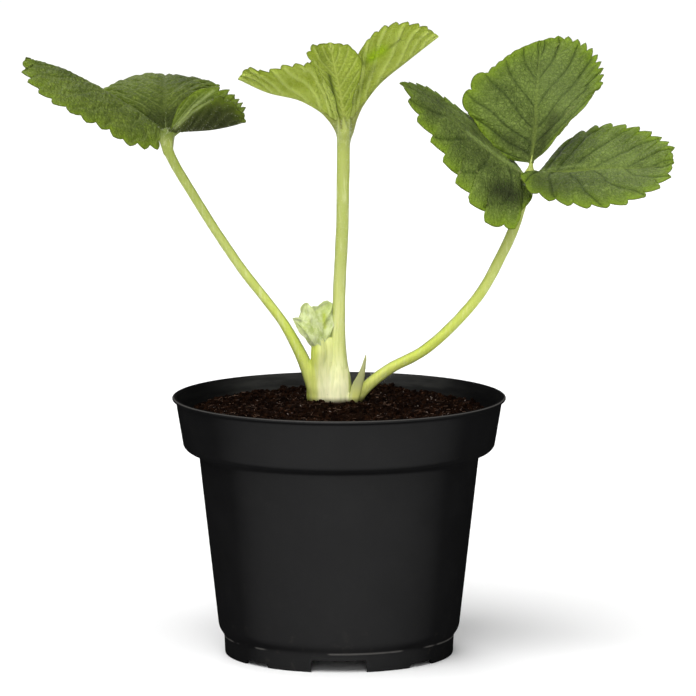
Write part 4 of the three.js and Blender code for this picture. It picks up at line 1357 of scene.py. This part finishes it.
def leafMaterial(name, colours):
    material, tree, shader = newMaterial(
        name, Specular_IOR_Level=0.17, Subsurface_Weight=0.1, Subsurface_Scale=0.0015,
        Subsurface_Radius=(0.8, 1.0, 0.2))
    place = objectPlace(tree)
    painted = attribute(tree, "veins")
    channels = channelsOf(tree, painted["Color"])
    vein, midrib, edge, swell = channels["Red"], channels["Green"], channels["Blue"], painted["Alpha"]
    hollow = calculate(tree, "SUBTRACT", 1.0, swell)
    under = attribute(tree, "underside")["Fac"]
    marks = channelsOf(tree, attribute(tree, "marks")["Color"])
    cloud = spread(tree, noise(tree, place, 0.09, 4, 0.6), 0.3, 0.7)
    net = spread(tree, cells(tree, place, 0.6, "DISTANCE_TO_EDGE"), 0.02, 0.2, 1.0, 0.0)
    fine = spread(tree, cells(tree, place, 1.5, "DISTANCE_TO_EDGE"), 0.03, 0.22, 1.0, 0.0)
    speck = noise(tree, place, 1.7, 3, 0.65)
    blotch = noise(tree, place, 0.7, 4, 0.7)

    upper = layered(tree, colours["deep"], colours, [
        (cloud, "light"),
        (spread(tree, speck, 0.5, 0.76, 0.0, 0.6), "net"),
        (spread(tree, speck, 0.48, 0.24, 0.0, 0.65), "deep"),
        (spread(tree, blotch, 0.52, 0.72, 0.0, colours["blotch"]), "net"),
        (spread(tree, blotch, 0.5, 0.3, 0.0, colours["blotch"]), "deep"),
        # the net and the hollows between the swells darker: painted shade in the grooves
        (product(tree, net, 0.4), "grooveShade"),
        (product(tree, fine, 0.18), "net"),
        (product(tree, hollow, 0.4), "grooveShade"),
        (product(tree, edge, 0.85), "margin"),
        # the veins; the right leaf's dark vein colour is painted shade in their grooves
        (product(tree, vein, 0.85), "vein"),
        (product(tree, midrib, 0.85), "midrib"),
    ])
    # the underside; the left leaf's dark underside colours are painted shade
    lower = layered(tree, colours["under"], colours, [
        (cloud, "underLight"),
        (product(tree, swell, 0.2), "under"),
        (spread(tree, speck, 0.52, 0.8, 0.0, 0.35), "underLight"),
        (product(tree, net, 0.14), "underVein"),
        (product(tree, hollow, 0.25), "underVein"),
        (product(tree, edge, 0.6), "margin"),
        (product(tree, vein, 0.6), "underVein"),
        (product(tree, midrib, 0.7), "underVein"),
    ])
    rim = product(tree, calculate(tree, "POWER", edge, 9.0), 0.75)
    # the strokes of painted shadow and painted light, then the dark rim
    tone = layered(tree, mixColour(tree, under, upper, lower), colours, [
        (marks["Red"], "dark"), (marks["Green"], "bright"), (rim, "rim")])
    tree.links.new(tone, shader.inputs["Base Color"])
    rough = calculate(tree, "MULTIPLY_ADD", speck, 0.2, colours["rough"])
    tree.links.new(calculate(tree, "MULTIPLY_ADD", under, 0.15, rough), shader.inputs["Roughness"])
    height = calculate(tree, "MULTIPLY_ADD", net, -0.8, calculate(tree, "MULTIPLY_ADD", fine, -0.4, speck))
    addBump(tree, shader, height, 0.3)
    return material


leafSkins = {kind: leafMaterial(kind + " leaf", colours) for kind, colours in leafColours.items()}
blades = {}
for number, (name, leaflet) in enumerate(leaflets.items()):
    kind = name.split("_")[0]
    blades[name] = makeBlade(name + "_blade", leaflet, bladeKinds[kind], leafSkins[kind], 20 + number)
print("leaflets made:", sum(len(b.data.polygons) for b in blades.values()), "faces")

stalkPieces = {name: makeStalk(name) for name in stalkValues}
crown = makeCrown(crownValues)
print("stalks made:", {name: len(piece.data.polygons) for name, piece in stalkPieces.items()},
      "crown", len(crown.data.polygons))


# young leaf: still folded, three crumpled lobes with thin skin between them, pale and downy

youngValues = {
    "lobes": [
        [(-7.6, 0.4, 109.5, 1.6), (-8.4, -0.7, 113, 2.4), (-10.3, -1.6, 116.2, 3.1),
         (-13.4, -1.8, 119.3, 2.6), (-16.8, -1.6, 121.9, 0.3)],
        [(-7.6, 0.8, 109.5, 1.8), (-8.6, 0.5, 114, 2.8), (-10.2, 0.2, 118, 3.7), (-11.3, 0, 122.3, 3.5),
         (-11.6, -0.3, 125.2, 2.8), (-11.5, -0.3, 127.2, 1.1)],
        [(-6.8, 1.2, 109.5, 1.8), (-6.1, 2, 114, 3.2), (-5.6, 2.6, 118, 4.2), (-5, 3, 121.4, 4.6),
         (-3.9, 3.2, 124.2, 4.1), (-2.4, 3.2, 126.4, 2.4)],
    ],
    "web": [(-8.4, 1.4, 112, 2.2), (-8.8, 1.6, 117, 3), (-8.6, 2, 122, 2.8), (-8.4, 2.2, 125.6, 1.2)],
    "bright": [([(-5.4, 122.6), (-5.1, 118)], 0.8, 0.8)],
    "dark": [([(-13.7, 124), (-12.8, 126.4), (-11.2, 127.2), (-9.6, 126.2), (-8.5, 124.6), (-6.6, 125.8),
               (-4.2, 127)], 0.5, 0.6), ([(-16.4, 121.8), (-13.8, 121)], 0.6, 0.8)],
    "pleats": 6,
    "pleatDepth": 0.42,
    "twists": (1.6, -2.2, 2.6),
    "stemEnd": (0.108, 0.113),  # heights in metres, for the colours
    "topEdge": (0.119, 0.123),
}
youngColours = {
    "shade": (0.45, 0.53, 0.17, 1),
    "light": (0.64, 0.7, 0.36, 1),
    "stem": (0.56, 0.61, 0.1, 1),
    # the next two are painted shade in the folds and painted light on their crests
    "fold": (0.26, 0.36, 0.07, 1),
    "litCrest": (0.78, 0.84, 0.55, 1),
    "bright": (0.42, 0.5, 0.04, 1),
    "rim": (0.16, 0.19, 0.08, 1),
}


def youngMaterial(values):
    material, tree, shader = newMaterial(
        "young leaf skin", Roughness=0.6, Specular_IOR_Level=0.3, Subsurface_Weight=0.35,
        Subsurface_Scale=0.002, Subsurface_Radius=(0.9, 1.0, 0.4), Sheen_Weight=0.2, Sheen_Roughness=0.4)
    place = objectPlace(tree)
    z = axesOf(tree, place)["Z"]
    marks = channelsOf(tree, attribute(tree, "marks")["Color"])
    cloud = spread(tree, noise(tree, place, 0.3, 3, 0.6), 0.35, 0.65)
    fold = noise(tree, stretched(tree, place, (1, 1, 0.3)), 0.8, 3, 0.6)
    tone = mixColour(tree, cloud, youngColours["shade"], youngColours["light"])
    tone = mixColour(tree, spread(tree, z, *values["stemEnd"]), youngColours["stem"], tone)
    topEdge = product(tree, spread(tree, axesOf(tree, surfaceNormal(tree))["Z"], 0.55, 0.95, 0.0, 0.6),
                      spread(tree, z, *values["topEdge"]))
    tone = layered(tree, tone, youngColours, [
        # painted shade where the bump is low and painted light where it is high
        (spread(tree, fold, 0.5, 0.3, 0.0, 0.5), "fold"),
        (spread(tree, fold, 0.58, 0.75, 0.0, 0.6), "litCrest"),
        (marks["Green"], "bright"),
        (calculate(tree, "MAXIMUM", topEdge, marks["Red"]), "rim"),
    ])
    tree.links.new(tone, shader.inputs["Base Color"])
    addBump(tree, shader, fold, 0.5, 0.9)
    return material


def makeYoungLeaf(values):
    parts = []
    for number, lobe in enumerate(values["lobes"]):
        parts.append(tube(lobe, 96, 80, squash=0.55, wobble=0.5, ridges=values["pleats"],
                          ridgeDepth=values["pleatDepth"], seed=60 + number, twist=values["twists"][number]))
    parts.append(tube(values["web"], 48, 60, squash=0.5, wobble=0.3, ridges=4, ridgeDepth=0.05, seed=64))
    parts.append(tube(crownValues["youngStem"], 24, 30, (0.92, 1), 0.8,
                      wobble=0.05, ridges=4, ridgeDepth=0.04, seed=9))
    piece = fused("young_leaf_folds", parts, youngMaterial(values), voxel=0.2, smoothing=1)
    return paintMarks(piece, values)


youngLeaf = makeYoungLeaf(youngValues)
print("young leaf made:", len(youngLeaf.data.polygons), "faces")


# fine hairs on the stalks, the young leaf and along the margins

hairValues = {  # how many on a square millimetre, length and radius in millimetres, lean and seed
    "stalk": (1.6, 1.1, 0.022, 0.55, 3),
    "young": (3.5, 0.8, 0.02, 0.6, 5),
    "blade": (2.2, 0.8, 0.018, 0.6, 8),
}
hairColours = {"dull": (0.62, 0.66, 0.42, 1), "pale": (0.86, 0.88, 0.7, 1)}


def hairMaterial():
    material, tree, shader = newMaterial(
        "fine hairs", Roughness=0.5, Specular_IOR_Level=0.5, Sheen_Weight=0.3)
    tone = mixColour(tree, noise(tree, objectPlace(tree), 0.3, 2), hairColours["dull"], hairColours["pale"])
    tree.links.new(tone, shader.inputs["Base Color"])
    return material


def hairsFrom(piece, low, high):  # none below the height low, and all of them from high up
    setNumbers(piece.data, "scatter", smoothstep(low, high, pointsOf(piece.data)[:, 2]))


def hairsOn(piece, name, kind):
    many, length, radius, lean, seed = hairValues[kind]
    return grownPiece(piece, growHairs, name, hairSkin, {
        "Density": many / mm ** 2, "Length": length * mm, "Radius": radius * mm, "Lean": lean, "Seed": seed})


def leafSlot(name):
    return "leaf_pale" if name.startswith("centre") else "leaf_green"


growHairs = hairTree()
hairSkin = hairMaterial()
hairs = []
for name, piece in stalkPieces.items():
    hairsFrom(piece, 96, 112)
    hairs.append((hairsOn(piece, name + "_stalk_hairs", "stalk"), "stalk"))
hairsFrom(youngLeaf, 108, 112)
hairs.append((hairsOn(youngLeaf, "young_leaf_hairs", "young"), "leaf_young"))
for name, piece in blades.items():
    hairs.append((hairsOn(piece, name + "_blade_hairs", "blade"), leafSlot(name)))
print("hairs made:", sum(len(piece.data.polygons) for piece, _ in hairs), "faces")


# floor and light

stageValues = {
    "floorHalf": 6,
    "floorColour": (0.93, 0.93, 0.93, 1),
    "skyLow": 0.02,
    "skyHigh": 0.36,
}


def makeStage(values):
    half = values["floorHalf"]
    mesh = meshFrom("floor", [(-half, -half, 0), (half, -half, 0), (half, half, 0), (-half, half, 0)],
                    [(0, 1, 2, 3)])
    material, _, _ = newMaterial("pale floor", Base_Color=values["floorColour"], Roughness=0.85,
                                 Specular_IOR_Level=0.2)
    floor = newPiece("floor", mesh, material)
    world = bpy.data.worlds.new("studio")
    world.use_nodes = True
    sky = world.node_tree
    background = sky.nodes["Background"]
    background.inputs["Color"].default_value = (1, 1, 1, 1)
    z = axesOf(sky, sky.nodes.new("ShaderNodeTexCoord").outputs["Generated"])["Z"]
    strength = spread(sky, z, 0.0, 0.75, values["skyLow"], values["skyHigh"])
    sky.links.new(strength, background.inputs["Strength"])
    bpy.context.scene.world = world


lightValues = {
    "sun": {"from": (-0.3, -0.62, 1.25), "softness": 60, "strength": 3.1},
    "front": {"place": (0.02, -2.3, 0.5), "size": (1.0, 1.1), "power": 17},
    "side": {"place": (1.5, -0.9, 1.0), "size": (0.9, 0.9), "power": 4},
    "back": {"place": (-0.4, 1.5, 1.3), "size": (1.0, 0.8), "power": 9},
}


def makeLights(values):
    for name, value in values.items():
        data = bpy.data.lights.new(name, "SUN" if name == "sun" else "AREA")
        light = placed(name, data)
        if name == "sun":
            data.energy = value["strength"]
            data.angle = math.radians(value["softness"])
            light.location = value["from"]
        else:
            data.energy = value["power"]
            data.shape = "RECTANGLE"
            data.size, data.size_y = value["size"]
            light.location = value["place"]
            light.visible_camera = False
        aim = -light.location.copy()
        aim.z += 0.1  # at the middle of the plant
        light.rotation_mode = "QUATERNION"
        light.rotation_quaternion = aim.to_track_quat("-Z", "Y")


makeStage(stageValues)
makeLights(lightValues)
bpy.context.scene.view_settings.view_transform = "Standard"


# each piece rides on the part's one body, and the main ones stand for their solids

def settle(piece, slotName, *nodes):
    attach(piece, "root")
    if nodes:
        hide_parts(*nodes)


settle(pot, "pot_plastic", "pot")
settle(heap, "peat", "soil")
settle(crumbs, "peat")
settle(fibres, "peat")
settle(crown, "crown", "crown")
settle(youngLeaf, "leaf_young", "young_leaf")
for name, piece in stalkPieces.items():
    settle(piece, "stalk", name + "_petiole")
for name, piece in blades.items():
    settle(piece, leafSlot(name), name + "_leaflet")
for piece, slotName in hairs:
    settle(piece, slotName)
